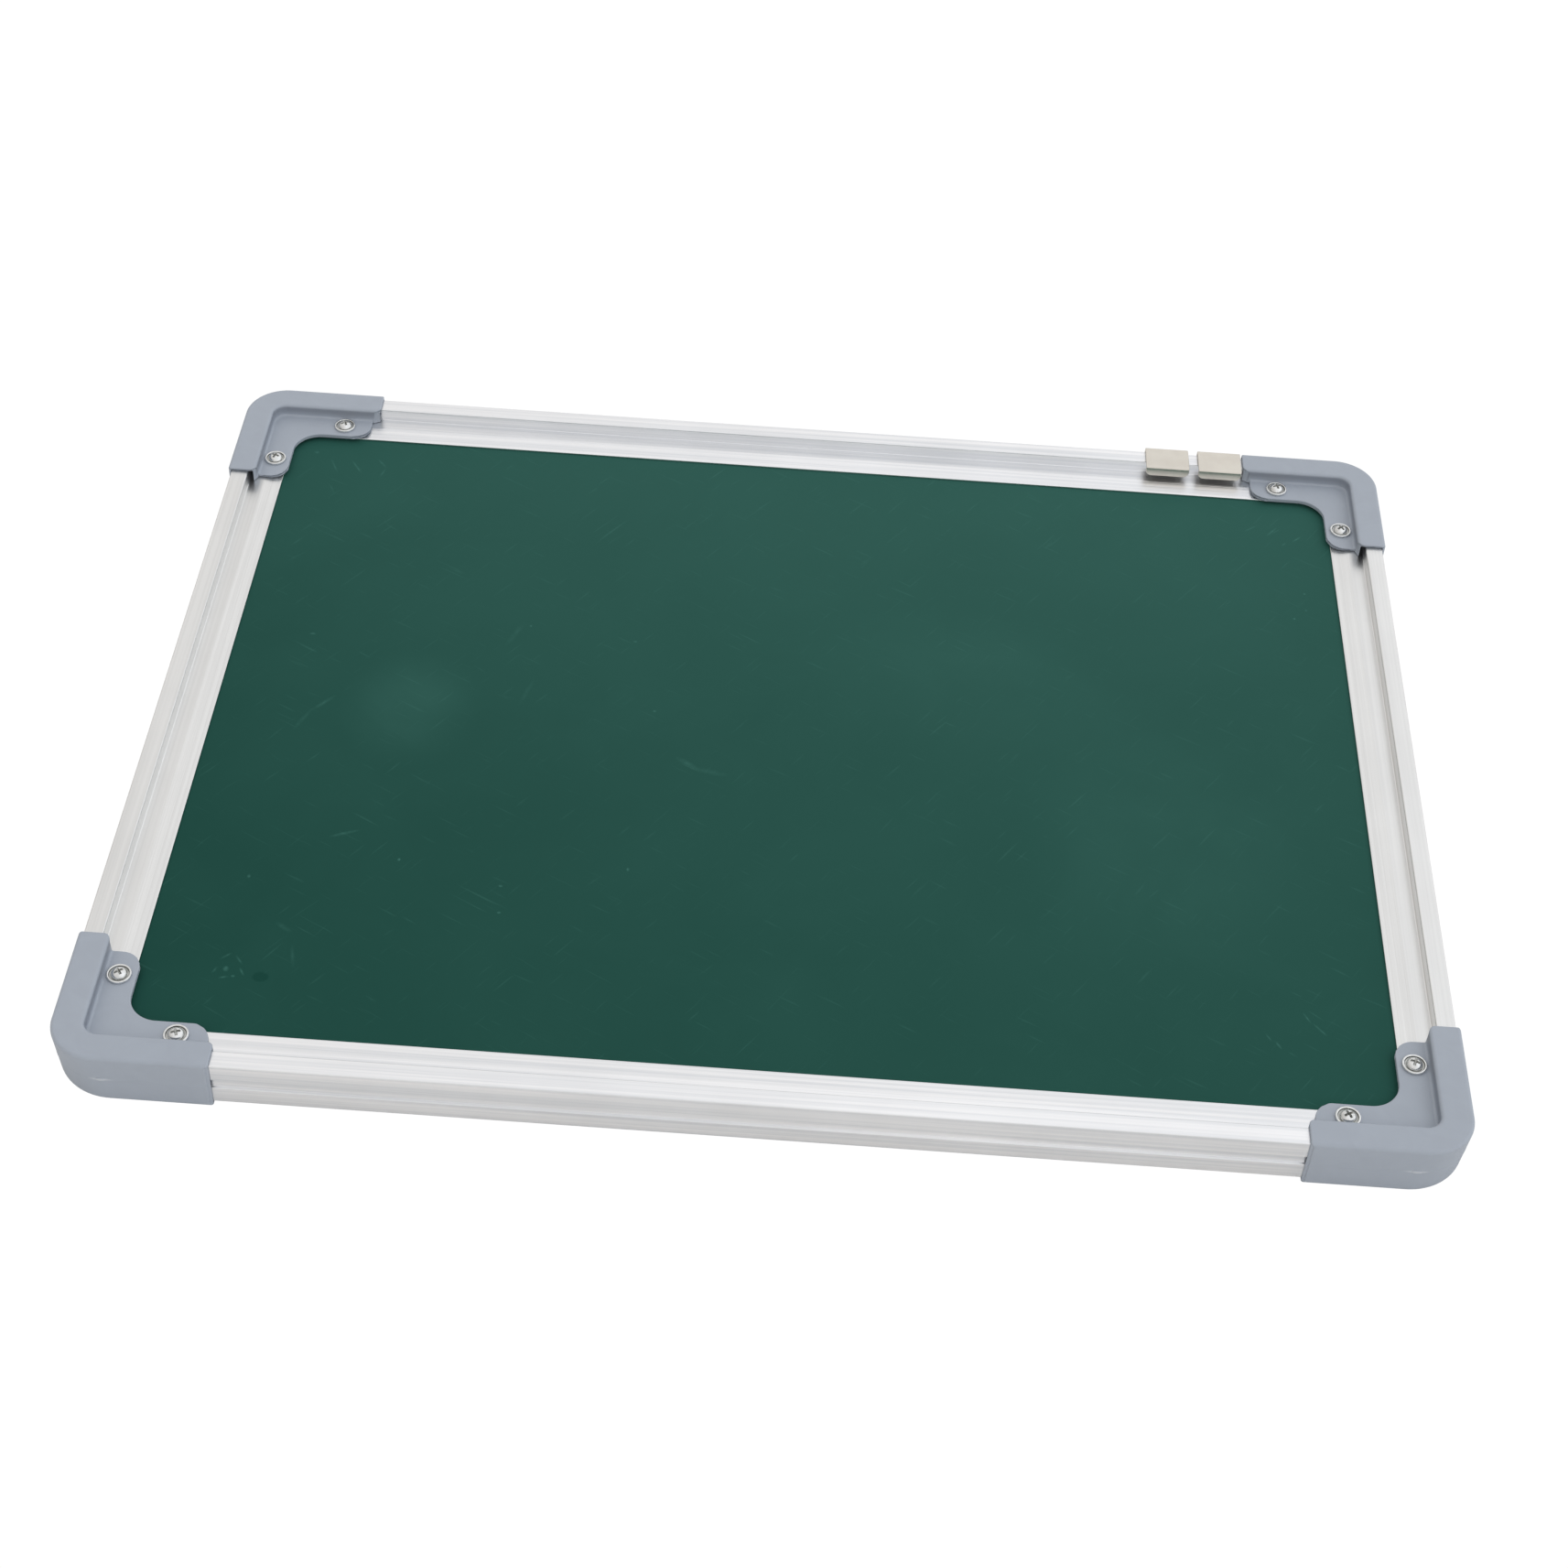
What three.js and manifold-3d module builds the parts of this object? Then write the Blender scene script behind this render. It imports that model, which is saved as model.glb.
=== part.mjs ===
// Framed writing board lying on its back, face up, in millimetres.
// X runs along the long rails, Y from the bottom rail to the top rail and Z up out of the face.
// Four channel rails hold a sandwich panel, moulded corners wrap the rail ends and are screwed on
// from both faces, and two bent clips slide along the top rail.

import * as THREE from 'three';
import { mergeVertices } from 'three/addons/utils/BufferGeometryUtils.js';
import Module from 'manifold-3d';

// Overall sizes, measured over the outer faces of the rails
const BOARD_LENGTH = 400;
const BOARD_HEIGHT = 310;

// Rail section
const RAIL_THICKNESS = 15.4;
const RAIL_FACE_WIDTH = 16.7;
const RAIL_WALL = 1;
const BAND_WIDTH = 5.8;
const BAND_EDGE_RADIUS = 0.5;
const STEP_DEPTH = 4.4;
const STEP_FOOT_RADIUS = 0.4;
const FLANGE_SLOPE_WIDTH = 5.9;
const LIP_FALL = 0.8;
const LIP_THICKNESS = 0.6;
const LIP_LAND = 1.2;
const LIP_EDGE_RADIUS = 0.2;
const WEB_SETBACK = 1.2;
const GROOVE_WIDTH = 3.6;
const GROOVE_DEPTH = 0.75;
const GROOVE_SLOPE = 0.3;
const LINE_COUNT = 3;
const LINE_PITCH = 1.8;
const LINE_FROM_LIP = 1.3;
const LINE_WIDTH = 0.3;
const LINE_DEPTH = 0.15;

// Panel sandwich
const SHEET_THICKNESS = 0.4;
const GLUE_LINE = 0.05;
const LIP_CLEARANCE = 0.1;
const PANEL_EDGE_CLEARANCE = 0.4;

// Corner moulding
const MOULDING_WALL = 1;
const MOULDING_FIT = 0.15;
const BAND_SIDE_GAP = 1.6;
const LEG_BEYOND_SCREW = 12.1;
const LEG_END_RADIUS = 1;
const BAND_END_RADIUS = 3;
const CORNER_RADIUS = 15.5;
const STEP_CORNER_RADIUS = 5;
const MOULDING_EDGE_ROUND = 0.7;
const FLANGE_OVERHANG = 1.3;
const FLANGE_SETBACK = 2.9;
const FLANGE_END_RADIUS = 6;
const FLANGE_CORNER_RADIUS = 9;
const FLANGE_EDGE_ROUND = 0.3;
const RAIL_END_SETBACK = 1.3;
const STOP_CLEARANCE = 0.3;
const STOP_RIB = 1.5;

// Screws, placed from the rail's cut end and clear of the band of the moulding
const SCREW_FROM_RAIL_END = 15.9;
const SCREW_FROM_BAND = 0.85;
const SHANK_RADIUS = 1.45;
const SHANK_TIP = 1.2;
const TIP_GAP = 0.8;
const SCREW_HOLE_CLEARANCE = 0.15;
const WASHER_RADIUS = 3.65;
const WASHER_THICKNESS = 0.45;
const WASHER_RIM = 0.35;
const WASHER_RIM_WIDTH = 0.6;
const DOME_RADIUS = 2.4;
const DOME_HEIGHT = 1.5;
const RECESS_LENGTH = 3.2;
const RECESS_FOOT = 1.5;
const RECESS_WIDTH = 0.75;
const RECESS_DEPTH = 1.3;
const SCREW_SEAT = 0.05;
const DRILL_OVERRUN = 1;

// Hanging clips on the top rail
const CLIP_LENGTH = 15.2;
const CLIP_STEEL = 0.8;
const CLIP_BEND_RADIUS = 1;
const CLIP_FRONT_GAP = 0.5;
const CLIP_OUTER_GAP = 0.3;
const CLIP_REAR_GAP = 0.2;
const CLIP_REACH = 4.5;
const CLIP_LEG = 3.7;
const CLIP_LEG_ROUND = 1.8;
const CLIP_TAB_REACH = 10;
const CLIP_TAB_ROUND = 3;
const NAIL_HOLE_RADIUS = 2.25;
const NAIL_HOLE_FROM_END = 5;
const CLIP_CORNER_GAP = 0.6;
const CLIP_SPACING = 18.6;

// Largest distance between a curve and its facets, and facets round and up a screw head
const CURVE_TOLERANCE = 0.06;
const SCREW_FACETS = 12;
const DOME_STEPS = 3;

// Derived levels, counted up from the underside of the aluminium
const HALF_THICKNESS = RAIL_THICKNESS / 2;
const FLANGE_LEVEL = RAIL_THICKNESS - STEP_DEPTH;
const LIP_UNDERSIDE = FLANGE_LEVEL - LIP_FALL - LIP_THICKNESS;
const PANEL_THICKNESS = 2 * (LIP_UNDERSIDE - HALF_THICKNESS - LIP_CLEARANCE);
const CORE_THICKNESS = PANEL_THICKNESS - 2 * (SHEET_THICKNESS + GLUE_LINE);
const SLOT_FLOOR = BAND_WIDTH + WEB_SETBACK + RAIL_WALL;
const PANEL_INSET = SLOT_FLOOR + PANEL_EDGE_CLEARANCE;
const MOULDING_OUTSET = MOULDING_WALL + MOULDING_FIT;
const MOULDING_FLANGE_TOP = FLANGE_LEVEL + MOULDING_OUTSET;
const MOULDING_BAND_INNER = BAND_WIDTH + BAND_SIDE_GAP + MOULDING_WALL;
const SCREW_HOLE_RADIUS = SHANK_RADIUS + SCREW_HOLE_CLEARANCE;
const SCREW_INSET = MOULDING_BAND_INNER + SCREW_FROM_BAND + WASHER_RADIUS;
const RAIL_END_FROM_CORNER = RAIL_FACE_WIDTH + RAIL_END_SETBACK;
const SCREW_ALONG = RAIL_END_FROM_CORNER + SCREW_FROM_RAIL_END;
const LEG_LENGTH = SCREW_ALONG + LEG_BEYOND_SCREW;

const wasm = await Module();
wasm.setup();

// Colours, roughness and metalness of each material
function makeMaterial(colour, roughness, metalness) {
  return new THREE.MeshStandardMaterial({ color: colour, roughness, metalness });
}

const ALUMINIUM = makeMaterial(0xd9dbdc, 0.35, 1);
const GREY_PLASTIC = makeMaterial(0xa2abb7, 0.55, 0);
const GREEN_SHEET = makeMaterial(0x2f5b51, 0.6, 0);
const CORE_FIBRE = makeMaterial(0xb79b74, 0.9, 0);
const WHITE_SHEET = makeMaterial(0xeceeed, 0.3, 0);
const ZINC_STEEL = makeMaterial(0xc9cccb, 0.25, 1);
const NICKEL_STEEL = makeMaterial(0xcdc8be, 0.3, 1);

// Turns a closed geometry into a solid that can be cut and joined
function toSolid(geometry) {
  const bare = geometry.clone();
  bare.deleteAttribute('normal');
  bare.deleteAttribute('uv');
  const merged = mergeVertices(bare, 1e-5);
  const vertProperties = new Float32Array(merged.attributes.position.array);
  const triVerts = new Uint32Array(merged.index.array);
  return new wasm.Manifold(new wasm.Mesh({ numProp: 3, vertProperties, triVerts }));
}

// Turns a solid back into a geometry
function toGeometry(solid) {
  const mesh = solid.getMesh();
  const geometry = new THREE.BufferGeometry();
  geometry.setAttribute('position', new THREE.BufferAttribute(new Float32Array(mesh.vertProperties), 3));
  geometry.setIndex(new THREE.BufferAttribute(new Uint32Array(mesh.triVerts), 1));
  geometry.computeVertexNormals();
  return geometry;
}

// Facets that keep an arc of this radius and angle within the curve tolerance
function arcSteps(radius, angle) {
  const widest = 2 * Math.acos(1 - Math.min(CURVE_TOLERANCE / radius, 0.5));
  return Math.max(2, Math.ceil(angle / widest));
}

// Points of a path whose corners [x, y, radius] are filleted
function filletPath(corners, closed) {
  const points = [];
  corners.forEach(([x, y, radius], index) => {
    const atEnd = !closed && (index === 0 || index === corners.length - 1);
    const corner = new THREE.Vector2(x, y);
    if (atEnd || !radius) {
      points.push(corner);
      return;
    }
    const before = corners[(index + corners.length - 1) % corners.length];
    const after = corners[(index + 1) % corners.length];
    const inward = new THREE.Vector2(before[0] - x, before[1] - y);
    const onward = new THREE.Vector2(after[0] - x, after[1] - y);
    const room = Math.min(inward.length(), onward.length()) * 0.499;
    const toBefore = inward.normalize();
    const toAfter = onward.normalize();
    const halfAngle = Math.acos(THREE.MathUtils.clamp(toBefore.dot(toAfter), -1, 1)) / 2;
    const reach = Math.min(radius / Math.tan(halfAngle), room);
    const fillet = reach * Math.tan(halfAngle);
    const start = corner.clone().addScaledVector(toBefore, reach);
    const end = corner.clone().addScaledVector(toAfter, reach);
    const bisector = toBefore.clone().add(toAfter).normalize();
    const centre = corner.clone().addScaledVector(bisector, fillet / Math.sin(halfAngle));
    const first = start.clone().sub(centre);
    const last = end.clone().sub(centre);
    const turn = Math.atan2(first.x * last.y - first.y * last.x, first.dot(last));
    const steps = arcSteps(fillet, Math.abs(turn));
    for (let step = 0; step <= steps; step += 1) {
      points.push(first.clone().rotateAround(new THREE.Vector2(), (turn * step) / steps).add(centre));
    }
  });
  return points;
}

// Closed outline with filleted corners, always counterclockwise
function filletShape(corners) {
  const points = filletPath(corners, true);
  return new THREE.Shape(THREE.ShapeUtils.isClockWise(points) ? points.reverse() : points);
}

// Prism of an outline standing on the given level, with rounded top and bottom edges if asked for
function prism(shape, bottom, top, edgeRound = 0) {
  const geometry = new THREE.ExtrudeGeometry(shape, {
    depth: top - bottom - 2 * edgeRound,
    bevelEnabled: edgeRound > 0,
    bevelThickness: edgeRound,
    bevelSize: edgeRound,
    bevelOffset: -edgeRound,
    bevelSegments: arcSteps(Math.max(edgeRound, CURVE_TOLERANCE), Math.PI / 2),
  });
  geometry.translate(0, 0, bottom + edgeRound);
  return geometry;
}

// Upright round bar between two levels
function roundBar(x, y, radius, bottom, top) {
  const bar = new THREE.Shape();
  bar.absarc(x, y, radius, 0, 2 * Math.PI, false);
  const geometry = new THREE.ExtrudeGeometry(bar, {
    depth: top - bottom,
    bevelEnabled: false,
    curveSegments: SCREW_FACETS / 2,
  });
  geometry.translate(0, 0, bottom);
  return geometry;
}

// Mirrors the upper half of a section, given from its middle level upwards, to make the whole
function mirrorAboutMiddle(upperHalf) {
  const lowerHalf = upperHalf.map(([u, rise, radius]) => [u, -rise, radius]).reverse();
  const all = upperHalf.concat(lowerHalf);
  return all.map(([u, rise, radius]) => [u, rise + HALF_THICKNESS, radius]);
}

// Rise of the flange's top above the middle level at a distance from the rail's outer face
function flangeRise(u) {
  const slopeStart = RAIL_FACE_WIDTH - FLANGE_SLOPE_WIDTH;
  const share = Math.max(0, (u - slopeStart) / FLANGE_SLOPE_WIDTH);
  return FLANGE_LEVEL - HALF_THICKNESS - LIP_FALL * share;
}

// Fine lines pressed into the flange beside the lip, from the band outwards to the lip
function flangeLines() {
  const corners = [];
  for (let line = LINE_COUNT - 1; line >= 0; line -= 1) {
    const centre = RAIL_FACE_WIDTH - LINE_FROM_LIP - line * LINE_PITCH;
    const near = centre - LINE_WIDTH / 2;
    const far = centre + LINE_WIDTH / 2;
    corners.push([near, flangeRise(near), 0]);
    corners.push([centre, flangeRise(centre) - LINE_DEPTH, 0]);
    corners.push([far, flangeRise(far), 0]);
  }
  return corners;
}

// Rail section: u runs from the outer face into the board and v up from the underside
function railSection() {
  const grooveHalf = GROOVE_WIDTH / 2;
  const bandRise = HALF_THICKNESS;
  const flangeTop = flangeRise(0);
  const slotRise = flangeTop - RAIL_WALL;
  const lipRise = LIP_UNDERSIDE - HALF_THICKNESS;
  const outside = [
    [GROOVE_DEPTH, grooveHalf - GROOVE_SLOPE, 0],
    [0, grooveHalf, 0],
    [0, bandRise, BAND_EDGE_RADIUS],
    [BAND_WIDTH, bandRise, BAND_EDGE_RADIUS],
    [BAND_WIDTH, flangeTop, STEP_FOOT_RADIUS],
    [RAIL_FACE_WIDTH - FLANGE_SLOPE_WIDTH, flangeTop, 0],
    ...flangeLines(),
    [RAIL_FACE_WIDTH, flangeRise(RAIL_FACE_WIDTH), LIP_EDGE_RADIUS],
    [RAIL_FACE_WIDTH, lipRise, 0],
    [RAIL_FACE_WIDTH - LIP_LAND, lipRise, 0],
    [RAIL_FACE_WIDTH - LIP_LAND, slotRise, 0],
    [SLOT_FLOOR, slotRise, 0],
  ];
  const section = filletShape(mirrorAboutMiddle(outside));
  const hollow = [
    [GROOVE_DEPTH + RAIL_WALL, grooveHalf, 0],
    [RAIL_WALL, grooveHalf + RAIL_WALL, 0],
    [RAIL_WALL, bandRise - RAIL_WALL, 0],
    [BAND_WIDTH - RAIL_WALL, bandRise - RAIL_WALL, 0],
    [BAND_WIDTH - RAIL_WALL, slotRise, 0],
    [SLOT_FLOOR - RAIL_WALL, slotRise, 0],
  ];
  section.holes.push(new THREE.Path(filletPath(mirrorAboutMiddle(hollow), true)));
  return section;
}

// Stands a section drawn in u and v upright, so that it runs along X from the middle both ways
function alongX(section, length) {
  const geometry = new THREE.ExtrudeGeometry(section, { depth: length, bevelEnabled: false });
  geometry.translate(0, 0, -length / 2);
  const turn = new THREE.Matrix4();
  turn.makeBasis(new THREE.Vector3(0, 1, 0), new THREE.Vector3(0, 0, 1), new THREE.Vector3(1, 0, 0));
  geometry.applyMatrix4(turn);
  return geometry;
}

// One rail, its outer face at Y = 0, with the screw holes near its ends
function makeRail(sideLength) {
  let rail = toSolid(alongX(railSection(), sideLength - 2 * RAIL_END_FROM_CORNER));
  const holeAlong = sideLength / 2 - SCREW_ALONG;
  const drillTop = RAIL_THICKNESS + DRILL_OVERRUN;
  for (const side of [-1, 1]) {
    const hole = roundBar(side * holeAlong, SCREW_INSET, SCREW_HOLE_RADIUS, -DRILL_OVERRUN, drillTop);
    rail = rail.subtract(toSolid(hole));
  }
  return toGeometry(rail);
}

// Outline of an elbow whose legs run along +X and +Y
function elbowShape(outer, inner, leg, radii) {
  return filletShape([
    [outer, outer, radii.outerCorner],
    [leg, outer, radii.endOuter],
    [leg, inner, radii.endInner],
    [inner, inner, radii.innerCorner],
    [inner, leg, radii.endInner],
    [outer, leg, radii.endOuter],
  ]);
}

// Outside of the corner moulding: a tall band along the edges and a lower flange over the rails
function mouldingOutside() {
  const band = elbowShape(-MOULDING_OUTSET, MOULDING_BAND_INNER, LEG_LENGTH, {
    outerCorner: CORNER_RADIUS,
    innerCorner: STEP_CORNER_RADIUS,
    endOuter: LEG_END_RADIUS,
    endInner: BAND_END_RADIUS,
  });
  const flange = elbowShape(0, RAIL_FACE_WIDTH + FLANGE_OVERHANG, LEG_LENGTH - FLANGE_SETBACK, {
    outerCorner: CORNER_RADIUS - MOULDING_OUTSET,
    innerCorner: FLANGE_CORNER_RADIUS,
    endOuter: 0,
    endInner: FLANGE_END_RADIUS,
  });
  const tall = prism(band, -MOULDING_OUTSET, RAIL_THICKNESS + MOULDING_OUTSET, MOULDING_EDGE_ROUND);
  const flangeBottom = RAIL_THICKNESS - MOULDING_FLANGE_TOP;
  const low = prism(flange, flangeBottom, MOULDING_FLANGE_TOP, FLANGE_EDGE_ROUND);
  return toSolid(tall).add(toSolid(low));
}

// Space inside the moulding: the bands of the two rails, and the slot that is open to the panel
function mouldingInside() {
  const beyond = LEG_LENGTH + RAIL_FACE_WIDTH;
  const innerRadius = CORNER_RADIUS - MOULDING_WALL;
  const band = elbowShape(-MOULDING_FIT, BAND_WIDTH + BAND_SIDE_GAP, beyond, {
    outerCorner: innerRadius,
    innerCorner: STEP_CORNER_RADIUS + MOULDING_WALL,
    endOuter: 0,
    endInner: 0,
  });
  const slot = filletShape([
    [-MOULDING_FIT, -MOULDING_FIT, innerRadius],
    [beyond, -MOULDING_FIT, 0],
    [beyond, beyond, 0],
    [-MOULDING_FIT, beyond, 0],
  ]);
  const bandSpace = prism(band, -MOULDING_FIT, RAIL_THICKNESS + MOULDING_FIT);
  const slotSpace = prism(slot, STEP_DEPTH - MOULDING_FIT, FLANGE_LEVEL + MOULDING_FIT);
  return toSolid(bandSpace).add(toSolid(slotSpace));
}

// Rib across a leg on which the square-cut end of the rail stops
function stopRib(onSecondLeg) {
  const end = RAIL_END_FROM_CORNER - STOP_CLEARANCE;
  const start = end - STOP_RIB;
  const low = -MOULDING_OUTSET;
  const corners = [
    [start, low, 0],
    [end, low, 0],
    [end, SLOT_FLOOR, 0],
    [start, SLOT_FLOOR, 0],
  ];
  const turned = corners.map(([x, y, radius]) => [y, x, radius]).reverse();
  const plan = filletShape(onSecondLeg ? turned : corners);
  return toSolid(prism(plan, -MOULDING_OUTSET, RAIL_THICKNESS + MOULDING_OUTSET));
}

// One corner moulding, its origin where the outer faces of its two rails would cross
function makeCorner() {
  const outside = mouldingOutside();
  const ribs = stopRib(false).add(stopRib(true)).intersect(outside);
  let moulding = outside.subtract(mouldingInside()).add(ribs);
  for (const [x, y] of [[SCREW_ALONG, SCREW_INSET], [SCREW_INSET, SCREW_ALONG]]) {
    const hole = roundBar(x, y, SCREW_HOLE_RADIUS, -DRILL_OVERRUN, RAIL_THICKNESS + DRILL_OVERRUN);
    moulding = moulding.subtract(toSolid(hole));
  }
  return toGeometry(moulding);
}

// Half section of a screw from its tip to the top of its domed head
function screwProfile() {
  const shank = MOULDING_FLANGE_TOP + SCREW_SEAT - HALF_THICKNESS - TIP_GAP / 2;
  const rimTop = WASHER_THICKNESS + WASHER_RIM;
  const profile = [
    new THREE.Vector2(0, -shank),
    new THREE.Vector2(SHANK_RADIUS, SHANK_TIP - shank),
    new THREE.Vector2(SHANK_RADIUS, 0),
    new THREE.Vector2(WASHER_RADIUS, 0),
    new THREE.Vector2(WASHER_RADIUS, rimTop - WASHER_RIM / 2),
    new THREE.Vector2(WASHER_RADIUS - WASHER_RIM_WIDTH / 2, rimTop),
    new THREE.Vector2(WASHER_RADIUS - WASHER_RIM_WIDTH, WASHER_THICKNESS),
    new THREE.Vector2(DOME_RADIUS, WASHER_THICKNESS),
  ];
  for (let step = 1; step <= DOME_STEPS; step += 1) {
    const angle = (step / DOME_STEPS) * (Math.PI / 2);
    const across = step === DOME_STEPS ? 0 : DOME_RADIUS * Math.cos(angle);
    profile.push(new THREE.Vector2(across, WASHER_THICKNESS + DOME_HEIGHT * Math.sin(angle)));
  }
  return profile;
}

// One wing of the cross recess, tapering towards its foot
function recessWing(turn) {
  const top = WASHER_THICKNESS + DOME_HEIGHT;
  const wing = filletShape([
    [-RECESS_FOOT / 2, top - RECESS_DEPTH, 0],
    [RECESS_FOOT / 2, top - RECESS_DEPTH, 0],
    [RECESS_LENGTH / 2, top, 0],
    [RECESS_LENGTH / 2, top + DOME_HEIGHT, 0],
    [-RECESS_LENGTH / 2, top + DOME_HEIGHT, 0],
    [-RECESS_LENGTH / 2, top, 0],
  ]);
  const geometry = new THREE.ExtrudeGeometry(wing, { depth: RECESS_WIDTH, bevelEnabled: false });
  geometry.translate(0, 0, -RECESS_WIDTH / 2);
  geometry.rotateX(Math.PI / 2);
  geometry.rotateZ(turn);
  return toSolid(geometry);
}

// One washer-head screw standing on its seat at Z = 0
function makeScrew() {
  const turned = new THREE.LatheGeometry(screwProfile(), SCREW_FACETS);
  turned.rotateX(Math.PI / 2);
  const recess = recessWing(0).add(recessWing(Math.PI / 2));
  return toGeometry(toSolid(turned).subtract(recess));
}

// Offsets an open path to its left, with mitred joints between its straight pieces
function offsetPath(points, distance) {
  const last = points.length - 1;
  return points.map((point, index) => {
    const start = Math.max(index - 1, 0);
    const into = points[start + 1].clone().sub(points[start]).normalize();
    const end = Math.min(index + 1, last);
    const onward = points[end].clone().sub(points[end - 1]).normalize();
    const tangent = into.clone().add(onward).normalize();
    const stretch = distance / tangent.dot(into);
    return new THREE.Vector2(point.x - tangent.y * stretch, point.y + tangent.x * stretch);
  });
}

// Section of a strip of sheet metal folded along the middle line through corners [u, v]
function foldedStrip(corners, thickness, bendRadius) {
  const filleted = corners.map(([u, v]) => [u, v, bendRadius - thickness / 2]);
  const middle = filletPath(filleted, false);
  const left = offsetPath(middle, thickness / 2);
  const right = offsetPath(middle, -thickness / 2).reverse();
  return filletShape(left.concat(right).map((point) => [point.x, point.y, 0]));
}

// Prism of an outline drawn in X and Z that runs along Y between two places
function alongY(shape, start, end) {
  const geometry = new THREE.ExtrudeGeometry(shape, { depth: end - start, bevelEnabled: false });
  geometry.rotateX(Math.PI / 2);
  geometry.translate(0, end, 0);
  return geometry;
}

// Rectangle centred on X = 0 whose two lower corners are rounded
function roundFooted(width, foot, top, radius) {
  return filletShape([
    [-width / 2, foot, radius],
    [width / 2, foot, radius],
    [width / 2, top, 0],
    [-width / 2, top, 0],
  ]);
}

// One hanging clip round the top rail, in the rail's own frame: outer face at Y = 0, board towards +Y
function makeClip() {
  const half = CLIP_STEEL / 2;
  const outerFace = -CLIP_OUTER_GAP - CLIP_STEEL;
  const legFace = BAND_WIDTH + CLIP_REACH;
  const topFace = RAIL_THICKNESS + CLIP_FRONT_GAP + CLIP_STEEL;
  const legEnd = topFace - CLIP_LEG;
  const tabEnd = BAND_WIDTH + CLIP_TAB_REACH;
  const tabFace = -CLIP_REAR_GAP - CLIP_STEEL;
  const folded = foldedStrip([
    [tabEnd, tabFace + half],
    [outerFace + half, tabFace + half],
    [outerFace + half, topFace - half],
    [legFace - half, topFace - half],
    [legFace - half, legEnd],
  ], CLIP_STEEL, CLIP_BEND_RADIUS);
  const spare = 2 * CLIP_LENGTH;
  const legStart = legFace - CLIP_STEEL - half;
  const legZone = alongY(roundFooted(spare, legEnd - spare, legEnd + CLIP_LEG_ROUND, 0), legStart, spare);
  const legOutline = alongY(roundFooted(CLIP_LENGTH, legEnd, topFace, CLIP_LEG_ROUND), legStart, spare);
  const legCorners = toSolid(legZone).subtract(toSolid(legOutline));
  const plan = roundFooted(CLIP_LENGTH, -tabEnd, spare, CLIP_TAB_ROUND);
  const planSolid = prism(plan, tabFace - CLIP_STEEL, topFace + CLIP_STEEL);
  planSolid.rotateZ(Math.PI);
  const holeY = tabEnd - NAIL_HOLE_FROM_END;
  const hole = roundBar(0, holeY, NAIL_HOLE_RADIUS, tabFace - half, tabFace + CLIP_STEEL + half);
  const bent = toSolid(alongX(folded, CLIP_LENGTH));
  return toGeometry(bent.subtract(legCorners).intersect(toSolid(planSolid)).subtract(toSolid(hole)));
}

// The four corners of the board and the quarter turns of the moulding there
function cornerPlaces() {
  const x = BOARD_LENGTH / 2;
  const y = BOARD_HEIGHT / 2;
  return [
    { name: 'bottom_left', x: -x, y: -y, quarterTurns: 0 },
    { name: 'bottom_right', x, y: -y, quarterTurns: 1 },
    { name: 'top_right', x, y, quarterTurns: 2 },
    { name: 'top_left', x: -x, y, quarterTurns: 3 },
  ];
}

// One layer of the panel, with a hole at each screw
function makeLayer(bottom, thickness) {
  const halfLength = BOARD_LENGTH / 2 - PANEL_INSET;
  const halfHeight = BOARD_HEIGHT / 2 - PANEL_INSET;
  const plate = filletShape([
    [-halfLength, -halfHeight, 0],
    [halfLength, -halfHeight, 0],
    [halfLength, halfHeight, 0],
    [-halfLength, halfHeight, 0],
  ]);
  for (const sideX of [-1, 1]) {
    for (const sideY of [-1, 1]) {
      const alongLength = [BOARD_LENGTH / 2 - SCREW_ALONG, BOARD_HEIGHT / 2 - SCREW_INSET];
      const alongHeight = [BOARD_LENGTH / 2 - SCREW_INSET, BOARD_HEIGHT / 2 - SCREW_ALONG];
      for (const [x, y] of [alongLength, alongHeight]) {
        const hole = new THREE.Path();
        hole.absarc(sideX * x, sideY * y, SCREW_HOLE_RADIUS, 0, 2 * Math.PI, true);
        plate.holes.push(hole);
      }
    }
  }
  const geometry = new THREE.ExtrudeGeometry(plate, {
    depth: thickness,
    bevelEnabled: false,
    curveSegments: SCREW_FACETS / 2,
  });
  geometry.translate(0, 0, bottom);
  return toGeometry(toSolid(geometry));
}

// Adds a named mesh to a group
function addPiece(parent, name, geometry, material) {
  const mesh = new THREE.Mesh(geometry, material);
  mesh.name = name;
  parent.add(mesh);
  return mesh;
}

// Group that carries a rail's frame to one side of the board
function railFrame(x, y, turn) {
  const frame = new THREE.Group();
  frame.position.set(x, y, 0);
  frame.rotation.z = turn;
  return frame;
}

// Rails on the four sides
function addRails(board) {
  const longRail = makeRail(BOARD_LENGTH);
  const shortRail = makeRail(BOARD_HEIGHT);
  const sides = [
    ['rail_bottom', longRail, railFrame(0, -BOARD_HEIGHT / 2, 0)],
    ['rail_top', longRail, railFrame(0, BOARD_HEIGHT / 2, Math.PI)],
    ['rail_left', shortRail, railFrame(-BOARD_LENGTH / 2, 0, -Math.PI / 2)],
    ['rail_right', shortRail, railFrame(BOARD_LENGTH / 2, 0, Math.PI / 2)],
  ];
  for (const [name, geometry, frame] of sides) {
    addPiece(frame, name, geometry, ALUMINIUM);
    board.add(frame);
  }
}

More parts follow.
